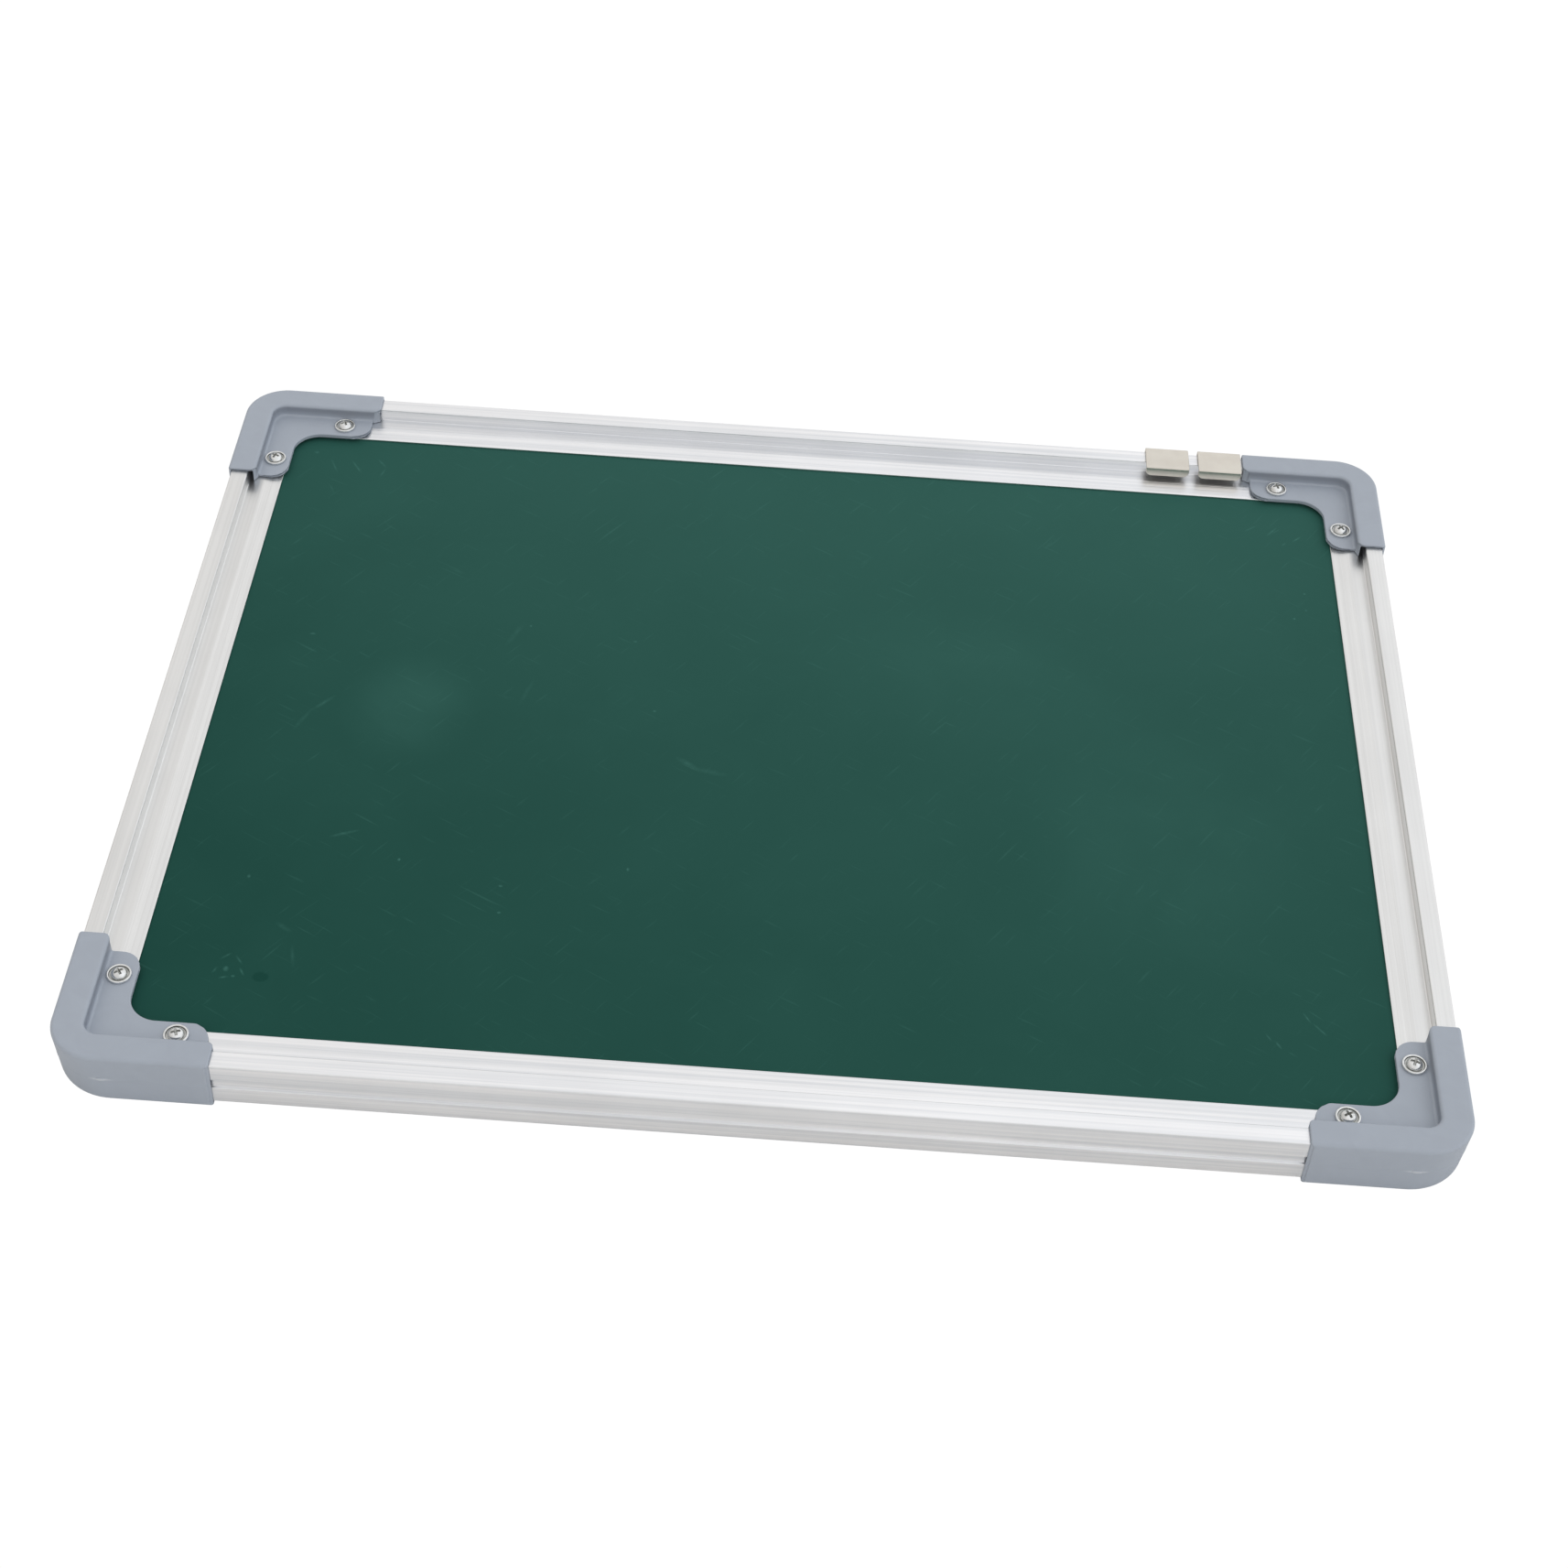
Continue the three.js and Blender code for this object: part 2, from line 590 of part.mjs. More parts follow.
// Writing sheet, core board and rear sheet
function addPanel(board) {
  const rearBottom = HALF_THICKNESS - PANEL_THICKNESS / 2;
  const coreBottom = rearBottom + SHEET_THICKNESS + GLUE_LINE;
  const frontBottom = coreBottom + CORE_THICKNESS + GLUE_LINE;
  addPiece(board, 'rear_sheet', makeLayer(rearBottom, SHEET_THICKNESS), WHITE_SHEET);
  addPiece(board, 'core_board', makeLayer(coreBottom, CORE_THICKNESS), CORE_FIBRE);
  addPiece(board, 'writing_sheet', makeLayer(frontBottom, SHEET_THICKNESS), GREEN_SHEET);
}

// Corner mouldings, each with two screws on the face and two on the back
function addCorners(board) {
  const moulding = makeCorner();
  const screw = makeScrew();
  for (const place of cornerPlaces()) {
    const frame = new THREE.Group();
    frame.position.set(place.x, place.y, 0);
    frame.rotation.z = (place.quarterTurns * Math.PI) / 2;
    addPiece(frame, `corner_${place.name}`, moulding, GREY_PLASTIC);
    const firstLegOnLongRail = place.quarterTurns % 2 === 0;
    const legs = [
      [firstLegOnLongRail ? 'long_side' : 'short_side', SCREW_ALONG, SCREW_INSET],
      [firstLegOnLongRail ? 'short_side' : 'long_side', SCREW_INSET, SCREW_ALONG],
    ];
    for (const [leg, x, y] of legs) {
      const front = addPiece(frame, `screw_front_${place.name}_${leg}`, screw, ZINC_STEEL);
      front.position.set(x, y, MOULDING_FLANGE_TOP + SCREW_SEAT);
      const rear = addPiece(frame, `screw_rear_${place.name}_${leg}`, screw, ZINC_STEEL);
      rear.position.set(x, y, RAIL_THICKNESS - MOULDING_FLANGE_TOP - SCREW_SEAT);
      rear.rotation.x = Math.PI;
    }
    board.add(frame);
  }
}

// Two clips parked on the top rail beside the top right corner
function addClips(board) {
  const clip = makeClip();
  const topRail = railFrame(0, BOARD_HEIGHT / 2, Math.PI);
  const nearCorner = BOARD_LENGTH / 2 - LEG_LENGTH - CLIP_CORNER_GAP - CLIP_LENGTH / 2;
  const right = addPiece(topRail, 'hanging_clip_right', clip, NICKEL_STEEL);
  right.position.x = -nearCorner;
  const left = addPiece(topRail, 'hanging_clip_left', clip, NICKEL_STEEL);
  left.position.x = -nearCorner + CLIP_SPACING;
  board.add(topRail);
}

const board = new THREE.Group();
board.position.z = MOULDING_OUTSET;
addRails(board);
addPanel(board);
addCorners(board);
addClips(board);

const group = new THREE.Group();
group.add(board);

export default group;
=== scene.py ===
"""Looks of a framed writing board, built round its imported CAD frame.

The board lies on its back on a pale studio floor. Sizes are in millimetres until a mesh is
placed, and every mesh is placed in metres in the frame of the CAD model.
"""

import logging
import math
from collections.abc import Callable, Sequence
from dataclasses import dataclass
from enum import Enum
from functools import partial
from itertools import cycle
from typing import Any

import bmesh
import bpy
import numpy as np
from mathutils import Matrix, Vector
from mathutils.geometry import tessellate_polygon


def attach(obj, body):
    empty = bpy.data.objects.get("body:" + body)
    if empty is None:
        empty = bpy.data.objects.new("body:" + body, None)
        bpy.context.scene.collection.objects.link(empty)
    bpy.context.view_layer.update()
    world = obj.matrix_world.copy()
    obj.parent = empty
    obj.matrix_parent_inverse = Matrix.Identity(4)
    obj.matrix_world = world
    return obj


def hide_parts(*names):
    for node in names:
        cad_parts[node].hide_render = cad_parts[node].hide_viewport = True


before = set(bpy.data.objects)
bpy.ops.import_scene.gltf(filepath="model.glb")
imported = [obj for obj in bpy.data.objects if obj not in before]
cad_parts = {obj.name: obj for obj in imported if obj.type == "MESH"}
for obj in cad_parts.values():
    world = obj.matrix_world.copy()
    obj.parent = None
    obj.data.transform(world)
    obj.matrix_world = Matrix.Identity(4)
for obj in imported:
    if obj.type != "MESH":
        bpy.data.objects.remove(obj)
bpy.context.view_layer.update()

LOG = logging.getLogger("writing_board")
MM = 0.001
QUARTER = math.pi / 2
MIX_A, MIX_B = 6, 7  # The colour inputs of a mix node
WELD = 1e-6  # Points of a mesh that are closer than this are one
FILLET_SHARE = 0.499  # Most of an edge that the fillet at one of its ends may take

Pair = tuple[float, float]
Triple = tuple[float, float, float]
Mesh = bmesh.types.BMesh
Node = bpy.types.Node
Piece = bpy.types.Object
Source = bpy.types.Node | bpy.types.NodeSocket
Looks = tuple[Source, Source | None, Source]
Tree = bpy.types.NodeTree
Vertex = bmesh.types.BMVert


class Body(Enum):
    """CAD bodies that the pieces ride on."""

    FRAME = "frame"
    CLIP_LEFT = "clip_left"
    CLIP_RIGHT = "clip_right"


class Slot(Enum):
    """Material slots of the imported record."""

    ALUMINIUM = "aluminium"
    PLASTIC = "grey_plastic"
    ZINC = "zinc_steel"
    NICKEL = "nickel_steel"


class Along(Enum):
    """Direction in which a rail was extruded: a stretch that draws noise out along it."""

    X = (0.006, 1.0, 1.0)
    Y = (1.0, 0.006, 1.0)


class Side(Enum):
    """Sides of the board: node ending, outward X and Y, and quarter turns of the rail."""

    BOTTOM = ("bottom", 0, -1, 0)
    TOP = ("top", 0, 1, 2)
    LEFT = ("left", -1, 0, -1)
    RIGHT = ("right", 1, 0, 1)


class CornerPlace(Enum):
    """Corners of the board: node ending, X and Y side, and quarter turns of the moulding."""

    BOTTOM_LEFT = ("bottom_left", -1, -1, 0)
    BOTTOM_RIGHT = ("bottom_right", 1, -1, 1)
    TOP_RIGHT = ("top_right", 1, 1, 2)
    TOP_LEFT = ("top_left", -1, 1, 3)


class Kind(Enum):
    """Node types that the finishes and the studio are made of."""

    BACKGROUND = "ShaderNodeBackground"
    BUMP = "ShaderNodeBump"
    COMBINE = "ShaderNodeCombineXYZ"
    COORDINATES = "ShaderNodeTexCoord"
    DIFFUSE = "ShaderNodeBsdfDiffuse"
    EMISSION = "ShaderNodeEmission"
    LIGHT_PATH = "ShaderNodeLightPath"
    MATH = "ShaderNodeMath"
    MIX = "ShaderNodeMix"
    MIX_SHADER = "ShaderNodeMixShader"
    NOISE = "ShaderNodeTexNoise"
    OUTPUT = "ShaderNodeOutputMaterial"
    PRINCIPLED = "ShaderNodeBsdfPrincipled"
    RANGE = "ShaderNodeMapRange"
    ROTATE = "ShaderNodeVectorRotate"
    SEPARATE = "ShaderNodeSeparateXYZ"
    VECTOR = "ShaderNodeVectorMath"
    WORLD_OUTPUT = "ShaderNodeOutputWorld"


# ---------------------------------------------------------------- nodes and colours


def linear(colour: str) -> tuple[float, float, float, float]:
    """Turns an sRGB hex colour into linear light.

    Args:
        colour: Six hex digits, red first.

    Returns:
        Red, green, blue and an alpha of one.
    """
    shares = [int(colour[place : place + 2], 16) / 255 for place in (0, 2, 4)]
    light = [s / 12.92 if s <= 0.04045 else ((s + 0.055) / 1.055) ** 2.4 for s in shares]
    return (light[0], light[1], light[2], 1.0)


def clear_tree(owner: bpy.types.Material | bpy.types.World) -> Tree:
    """Gives a material or a world an empty node tree.

    Args:
        owner: The material or the world.

    Returns:
        Its tree.
    """
    owner.use_nodes = True
    owner.node_tree.nodes.clear()
    return owner.node_tree


def set_node(tree: Tree, node: Node, values: dict[str | int, Any]) -> Node:
    """Sets and links one node.

    Args:
        tree: The node tree that the node is in.
        node: The node.
        values: Settings by attribute name, or by input name or number. A node or a socket is
            linked to the input, a node from the first output that its settings leave in use.

    Returns:
        The same node.
    """
    for key, value in values.items():
        if isinstance(value, bpy.types.Node):
            value = next(output for output in value.outputs if output.enabled)
        if isinstance(value, bpy.types.NodeSocket):
            tree.links.new(value, node.inputs[key])
        elif isinstance(key, str) and hasattr(node, key):
            setattr(node, key, value)
        else:
            node.inputs[key].default_value = value
    return node


def add_node(tree: Tree, kind: Kind, values: dict[str | int, Any] | None = None) -> Node:
    """Adds one node with its settings and its links.

    Args:
        tree: The node tree that gets the node.
        kind: The node's type.
        values: Its settings and links, as set_node takes them.

    Returns:
        The new node.
    """
    return set_node(tree, tree.nodes.new(kind.value), values or {})


# ---------------------------------------------------------------- finishes


@dataclass(frozen=True)
class Finish:
    """A finish named for its material and how its surface was made.

    The gloss runs about the roughness by gloss_spread, over the part gloss_field of a pattern.
    The relief is a strength and a depth in millimetres.
    """

    name: str
    colour: str
    roughness: float
    metallic: float = 0.0
    ior: float = 1.5
    specular: float = 0.5
    gloss_field: Pair = (0.0, 1.0)
    gloss_spread: Pair = (-0.05, 0.05)
    relief: Pair = (0.2, 0.02)

    def material(self) -> bpy.types.Material:
        """Builds the material once, and returns the same one after that."""
        known = bpy.data.materials.get(self.name)
        if known:
            return known
        material = bpy.data.materials.new(self.name)
        tree = clear_tree(material)
        add = partial(add_node, tree)
        place = add(Kind.COORDINATES).outputs["Object"]
        in_mm = add(Kind.VECTOR, {"operation": "SCALE", "Scale": 1 / MM, 0: place})
        shader = add(Kind.PRINCIPLED, {
            "Base Color": linear(self.colour), "Roughness": self.roughness,
            "Metallic": self.metallic, "IOR": self.ior, "Specular IOR Level": self.specular,
        })
        add(Kind.OUTPUT, {"Surface": shader})
        tone, gloss, height = self.dress(tree, in_mm)
        if gloss:
            spread = add(Kind.RANGE, {
                "From Min": self.gloss_field[0], "From Max": self.gloss_field[1],
                "To Min": self.roughness + self.gloss_spread[0],
                "To Max": self.roughness + self.gloss_spread[1], "Value": gloss,
            })
            set_node(tree, shader, {"Roughness": spread})
        strength, depth = self.relief
        relief = add(Kind.BUMP, {"Strength": strength, "Distance": depth * MM, "Height": height})
        set_node(tree, shader, {"Base Color": tone, "Normal": relief})
        material.diffuse_color = linear(self.colour)
        return material

    def two_tone(
        self, tree: Tree, other: str, pattern: Source, field: Pair, most: float = 1.0
    ) -> Node:
        """Runs the finish's colour into another one over a pattern.

        Args:
            tree: The material's node tree.
            other: The other colour, in sRGB hex digits.
            pattern: The pattern that the colours follow.
            field: The pattern's values where the change starts and where it is whole.
            most: The largest share of the other colour.

        Returns:
            The mixed colour.
        """
        share = add_node(tree, Kind.RANGE, {
            "From Min": field[0], "From Max": field[1], "To Max": most, "Value": pattern,
        })
        return add_node(tree, Kind.MIX, {
            "data_type": "RGBA", MIX_A: linear(self.colour), MIX_B: linear(other), 0: share,
        })

    def dress(self, tree: Tree, place: Source) -> Looks:
        """Adds this finish's own pattern.

        Args:
            tree: The material's node tree.
            place: The point on the piece, in millimetres.

        Returns:
            What gives the tone, what the gloss follows if it isn't even, and the relief's height.
        """
        raise NotImplementedError


@dataclass(frozen=True)
class ExtrudedAluminium(Finish):
    """Satin anodised aluminium, drawn through a die that leaves streaks along the rail."""

    gloss_field: Pair = (0.3, 0.7)
    gloss_spread: Pair = (-0.04, 0.04)
    relief: Pair = (0.08, 0.02)
    along: Along = Along.X
    pale: str = "fcfcfd"
    streak_mm: float = 1.3
    streak_field: Pair = (0.35, 0.65)
    cloud_mm: float = 28.0
    cloud_field: Pair = (0.3, 0.7)
    cloud_dulling: float = 0.96
    die_line_mm: float = 0.3

    def dress(self, tree: Tree, place: Source) -> Looks:
        """Die streaks in colour and gloss, clouding by hands, and finer die lines as relief."""
        add = partial(add_node, tree)
        drawn = add(Kind.VECTOR, {"operation": "MULTIPLY", 1: self.along.value, 0: place})
        # Broad streaks a millimetre or so apart make the flanges look drawn, not milled
        streaks = add(Kind.NOISE, {
            "Scale": 1 / self.streak_mm, "Detail": 2.0, "Roughness": 0.6, "Vector": drawn,
        })
        tint = self.two_tone(tree, self.pale, streaks, self.streak_field)
        # Clouding from handling, in patches of a few centimetres
        clouds = add(Kind.NOISE, {"Scale": 1 / self.cloud_mm, "Detail": 3.0, "Vector": place})
        dulling = add(Kind.RANGE, {
            "From Min": self.cloud_field[0], "From Max": self.cloud_field[1],
            "To Min": self.cloud_dulling, "Value": clouds,
        })
        tone = add(Kind.VECTOR, {"operation": "SCALE", 0: tint, "Scale": dulling})
        lines = add(Kind.NOISE, {"Scale": 1 / self.die_line_mm, "Detail": 2.0, "Vector": drawn})
        return tone, streaks, lines


@dataclass(frozen=True)
class MouldedAbs(Finish):
    """Injection moulded ABS with a fine spark-eroded grain and soft flow marks."""

    gloss_spread: Pair = (-0.06, 0.1)
    relief: Pair = (0.2, 0.03)
    flow: str = "a0a7b2"
    flow_mm: float = 9.0
    flow_field: Pair = (0.35, 0.7)
    flow_share: float = 0.45
    whitened: str = "c9cdd2"
    grimy: str = "868c97"
    grain_mm: float = 0.4
    gate: Triple = (185.0, 156.15, 8.85)
    gate_squeeze: Triple = (0.24, 0.5, 1.6)
    gate_core: float = 0.15
    gate_share: float = 0.85
    # The band's inner walls, and where and how strongly they get painted shade
    inner_wall: Triple = (191.8, 146.8, 0.0)
    middle_level: float = 8.85
    grime_foot: Pair = (4.5, 7.2)
    grime_edge: Pair = (8.6, 7.7)
    grime_share: float = 0.9

    def dress(self, tree: Tree, place: Source) -> Looks:
        """Flow marks, a whitened gate and painted shade on the inner walls in the tone, and a fine
        grain.
        """
        add = partial(add_node, tree)
        flow = add(Kind.NOISE, {
            "Scale": 1 / self.flow_mm, "Detail": 3.0, "Distortion": 1.6, "Vector": place,
        })
        tone = self.two_tone(tree, self.flow, flow, self.flow_field, self.flow_share)
        # The gate is on the long side of each corner, so one place in the first quadrant does
        mirrored = add(Kind.VECTOR, {"operation": "ABSOLUTE", 0: place})
        from_gate = add(Kind.VECTOR, {"operation": "SUBTRACT", 1: self.gate, 0: mirrored})
        squeezed = add(Kind.VECTOR, {"operation": "MULTIPLY", 1: self.gate_squeeze, 0: from_gate})
        reach = add(Kind.VECTOR, {"operation": "LENGTH", 0: squeezed})
        bruise = add(Kind.RANGE, {
            "From Min": 1.0, "From Max": self.gate_core, "To Max": self.gate_share, "Value": reach,
        })
        bruised = add(Kind.MIX, {
            "data_type": "RGBA", MIX_B: linear(self.whitened), 0: bruise, MIX_A: tone,
        })
        # Painted shade: the band's inner walls are darkened from their foot up to just below their
        # upper edge
        wall_shaded = add(Kind.MIX, {
            "data_type": "RGBA", MIX_B: linear(self.grimy), 0: self.grime(tree, mirrored),
            MIX_A: bruised,
        })
        grain = add(Kind.NOISE, {
            "Scale": 1 / self.grain_mm, "Detail": 3.0, "Roughness": 0.7, "Vector": place,
        })
        return wall_shaded, grain, grain

    def grime(self, tree: Tree, mirrored: Source) -> Node:
        """Finds the band's inner walls, which get a painted shade of dull grey.

        Args:
            tree: The material's node tree.
            mirrored: The point on the piece, mirrored into the first quadrant, in millimetres.

        Returns:
            How much painted shade the point gets: nothing at the foot of the wall, most below its
                upper edge.
        """
        add = partial(add_node, tree)
        inward = add(Kind.VECTOR, {"operation": "SUBTRACT", 0: self.inner_wall, 1: mirrored})
        sides = add(Kind.SEPARATE, {0: inward})
        nearer = add(Kind.MATH, {"operation": "MINIMUM", 0: sides, 1: sides.outputs[1]})
        inside = add(Kind.MATH, {"operation": "GREATER_THAN", 1: 0.0, 0: nearer})
        height = add(Kind.MATH, {"operation": "ADD", 1: self.middle_level, 0: sides.outputs[2]})
        level = add(Kind.MATH, {"operation": "ABSOLUTE", 0: height})
        up_the_wall = add(Kind.RANGE, {
            "interpolation_type": "SMOOTHSTEP", "From Min": self.grime_foot[0],
            "From Max": self.grime_foot[1], "To Max": self.grime_share, "Value": level,
        })
        below_edge = add(Kind.RANGE, {
            "interpolation_type": "SMOOTHSTEP", "From Min": self.grime_edge[0],
            "From Max": self.grime_edge[1], "Value": level,
        })
        on_wall = add(Kind.MATH, {"operation": "MULTIPLY", 0: below_edge, 1: inside})
        return add(Kind.MATH, {"operation": "MULTIPLY", 0: up_the_wall, 1: on_wall})


@dataclass(frozen=True)
class Rub:
    """A straight pale rub on the writing face, between two points in millimetres."""

    start: Pair
    end: Pair
    width: float
    strength: float

    def strewn(self, tree: Tree, place: Source) -> Node:
        """Draws the rub as a spindle.

        Args:
            tree: The material's node tree.
            place: The point on the face, in millimetres.

        Returns:
            The dust that it adds, fading evenly from its middle line to its rim.
        """
        add = partial(add_node, tree)
        run = Vector((self.end[0] - self.start[0], self.end[1] - self.start[1], 0.0))
        middle = Vector((self.end[0] + self.start[0], self.end[1] + self.start[1], 0.0)) / 2
        ahead = 2 * run / run.length_squared
        across = Vector((-run.y, run.x, 0.0)).normalized() * (2 / self.width)
        centred = add(Kind.VECTOR, {"operation": "SUBTRACT", 1: middle[:], 0: place})
        along, aside = (
            add(Kind.VECTOR, {"operation": "DOT_PRODUCT", 1: way[:], 0: centred})
            for way in (ahead, across)
        )
        spindle = add(Kind.COMBINE, {0: along, 1: aside})
        away = add(Kind.VECTOR, {"operation": "LENGTH", 0: spindle})
        return add(Kind.RANGE, {
            "From Min": 1.0, "From Max": 0.0, "To Max": 2 * self.strength, "Value": away,
        })


@dataclass(frozen=True)
class Smudge:
    """A soft patch of chalk dust or polish on the writing face, in millimetres."""

    centre: Pair
    reach: Pair
    strength: float
    core: float = 0.25

    def strewn(self, tree: Tree, place: Source) -> Node:
        """Draws the smudge as a soft-edged ellipse.

        Args:
            tree: The material's node tree.
            place: The point on the face, in millimetres.

        Returns:
            The dust that it adds, whole over its core and fading smoothly to its rim.
        """
        add = partial(add_node, tree)
        shrink = (1 / self.reach[0], 1 / self.reach[1], 0.0)
        centred = add(Kind.VECTOR, {"operation": "SUBTRACT", 1: (*self.centre, 0.0), 0: place})
        scaled = add(Kind.VECTOR, {"operation": "MULTIPLY", 1: shrink, 0: centred})
        away = add(Kind.VECTOR, {"operation": "LENGTH", 0: scaled})
        return add(Kind.RANGE, {
            "interpolation_type": "SMOOTHSTEP", "From Min": 1.0, "From Max": self.core,
            "To Max": self.strength, "Value": away,
        })


# Start, end, width and strength of each rub, in groups from the top left corner round
RUBS = tuple(
    Rub((x, y), (to_x, to_y), width, strength)
    for x, y, to_x, to_y, width, strength in (
        (-168.9, 127.4, -165.0, 118.8, 0.95, 0.09), (-161.2, 126.6, -156.6, 119.6, 1.04, 0.14),
        (-152.6, 128.6, -148.4, 123.6, 0.95, 0.10), (-148.5, 123.8, -150.2, 118.0, 0.95, 0.09),
        (-139.6, 124.2, -136.2, 122.4, 0.95, 0.06), (-167.0, 112.8, -164.2, 107.8, 0.95, 0.06),
        (153.6, 120.7, 159.2, 124.9, 0.95, 0.09), (161.3, 118.8, 165.6, 124.2, 0.95, 0.19),
        (163.2, 120.2, 166.8, 123.6, 0.66, 0.09), (166.4, 114.0, 168.2, 116.2, 0.85, 0.09),
        (170.2, 116.4, 173.8, 120.2, 0.95, 0.12), (156.9, -101.2, 159.3, -105.8, 0.76, 0.14),
        (159.5, -105.2, 163.7, -110.2, 0.85, 0.17), (158.2, -100.2, 163.2, -104.3, 0.66, 0.09),
        (145.3, -110.3, 147.2, -113.6, 0.76, 0.11), (147.9, -112.8, 149.9, -116.4, 0.85, 0.14),
        (151.3, -116.8, 154.3, -118.8, 0.76, 0.07), (-160.6, -110.2, -157.3, -107.2, 0.9, 0.13),
        (-156.2, -107.9, -153.4, -111.6, 0.9, 0.13), (-154.1, -112.6, -152.2, -116.0, 0.9, 0.14),
        (-161.8, -115.9, -160.3, -112.6, 0.9, 0.12), (-159.6, -117.3, -156.3, -116.4, 0.9, 0.14),
        (-140.6, -102.2, -138.6, -111.6, 1.6, 0.05), (-147.4, -93.8, -141.2, -97.9, 2.2, 0.05),
        (-157.0, -12.0, -152.4, -1.2, 1.8, 0.06), (-153.0, -2.6, -145.8, 5.8, 1.8, 0.07),
        (-137.9, -57.8, -127.9, -53.6, 1.5, 0.1), (-35.4, -11.8, -26.6, -18.1, 2.8, 0.06),
        (-30.2, -16.6, -16.9, -19.1, 2.8, 0.05), (-95.2, 34.0, -90.2, 47.8, 2.4, 0.04),
        (-87.3, 6.0, -83.6, 20.4, 1.8, 0.04),
    )
)

# Centre, reach and strength: broad wiped patches, and one dark spot where the film is gone
SMUDGES = tuple(
    Smudge((x, y), (reach_x, reach_y), strength)
    for x, y, reach_x, reach_y, strength in (
        (-121.8, 2.0, 25.0, 31.0, 0.065), (60.0, 30.0, 60.0, 45.0, 0.03),
        (120.0, -40.0, 50.0, 60.0, 0.03), (-147.4, -115.8, 2.9, 2.3, -0.13),
    )
)

# The same for specks of chalk that the duster left
SPECKS = tuple(
    Smudge((x, y), (reach_x, reach_y), strength)
    for x, y, reach_x, reach_y, strength in (
        (-174.3, 129.8, 1.2, 0.9, 0.16), (-82.8, -73.2, 0.8, 0.6, 0.4),
        (-114.8, -65.2, 0.6, 0.8, 0.35), (-158.4, -76.3, 0.7, 0.9, 0.3),
        (-157.9, -113.6, 1.1, 1.3, 0.3), (-155.4, -116.2, 0.8, 0.6, 0.25),
        (-81.9, -84.1, 0.8, 0.6, 0.35), (-45.3, -62.7, 0.6, 0.9, 0.3),
        (-158.7, 34.2, 1.2, 0.7, 0.2), (-43.5, 8.2, 0.7, 0.6, 0.2), (-88.0, 45.3, 0.6, 0.6, 0.25),
        (-52.8, 41.1, 0.8, 0.6, 0.2), (168.0, 75.6, 0.6, 0.5, 0.3), (172.4, 80.3, 0.5, 0.6, 0.3),
        (172.5, 89.0, 0.6, 0.5, 0.25),
    )
)


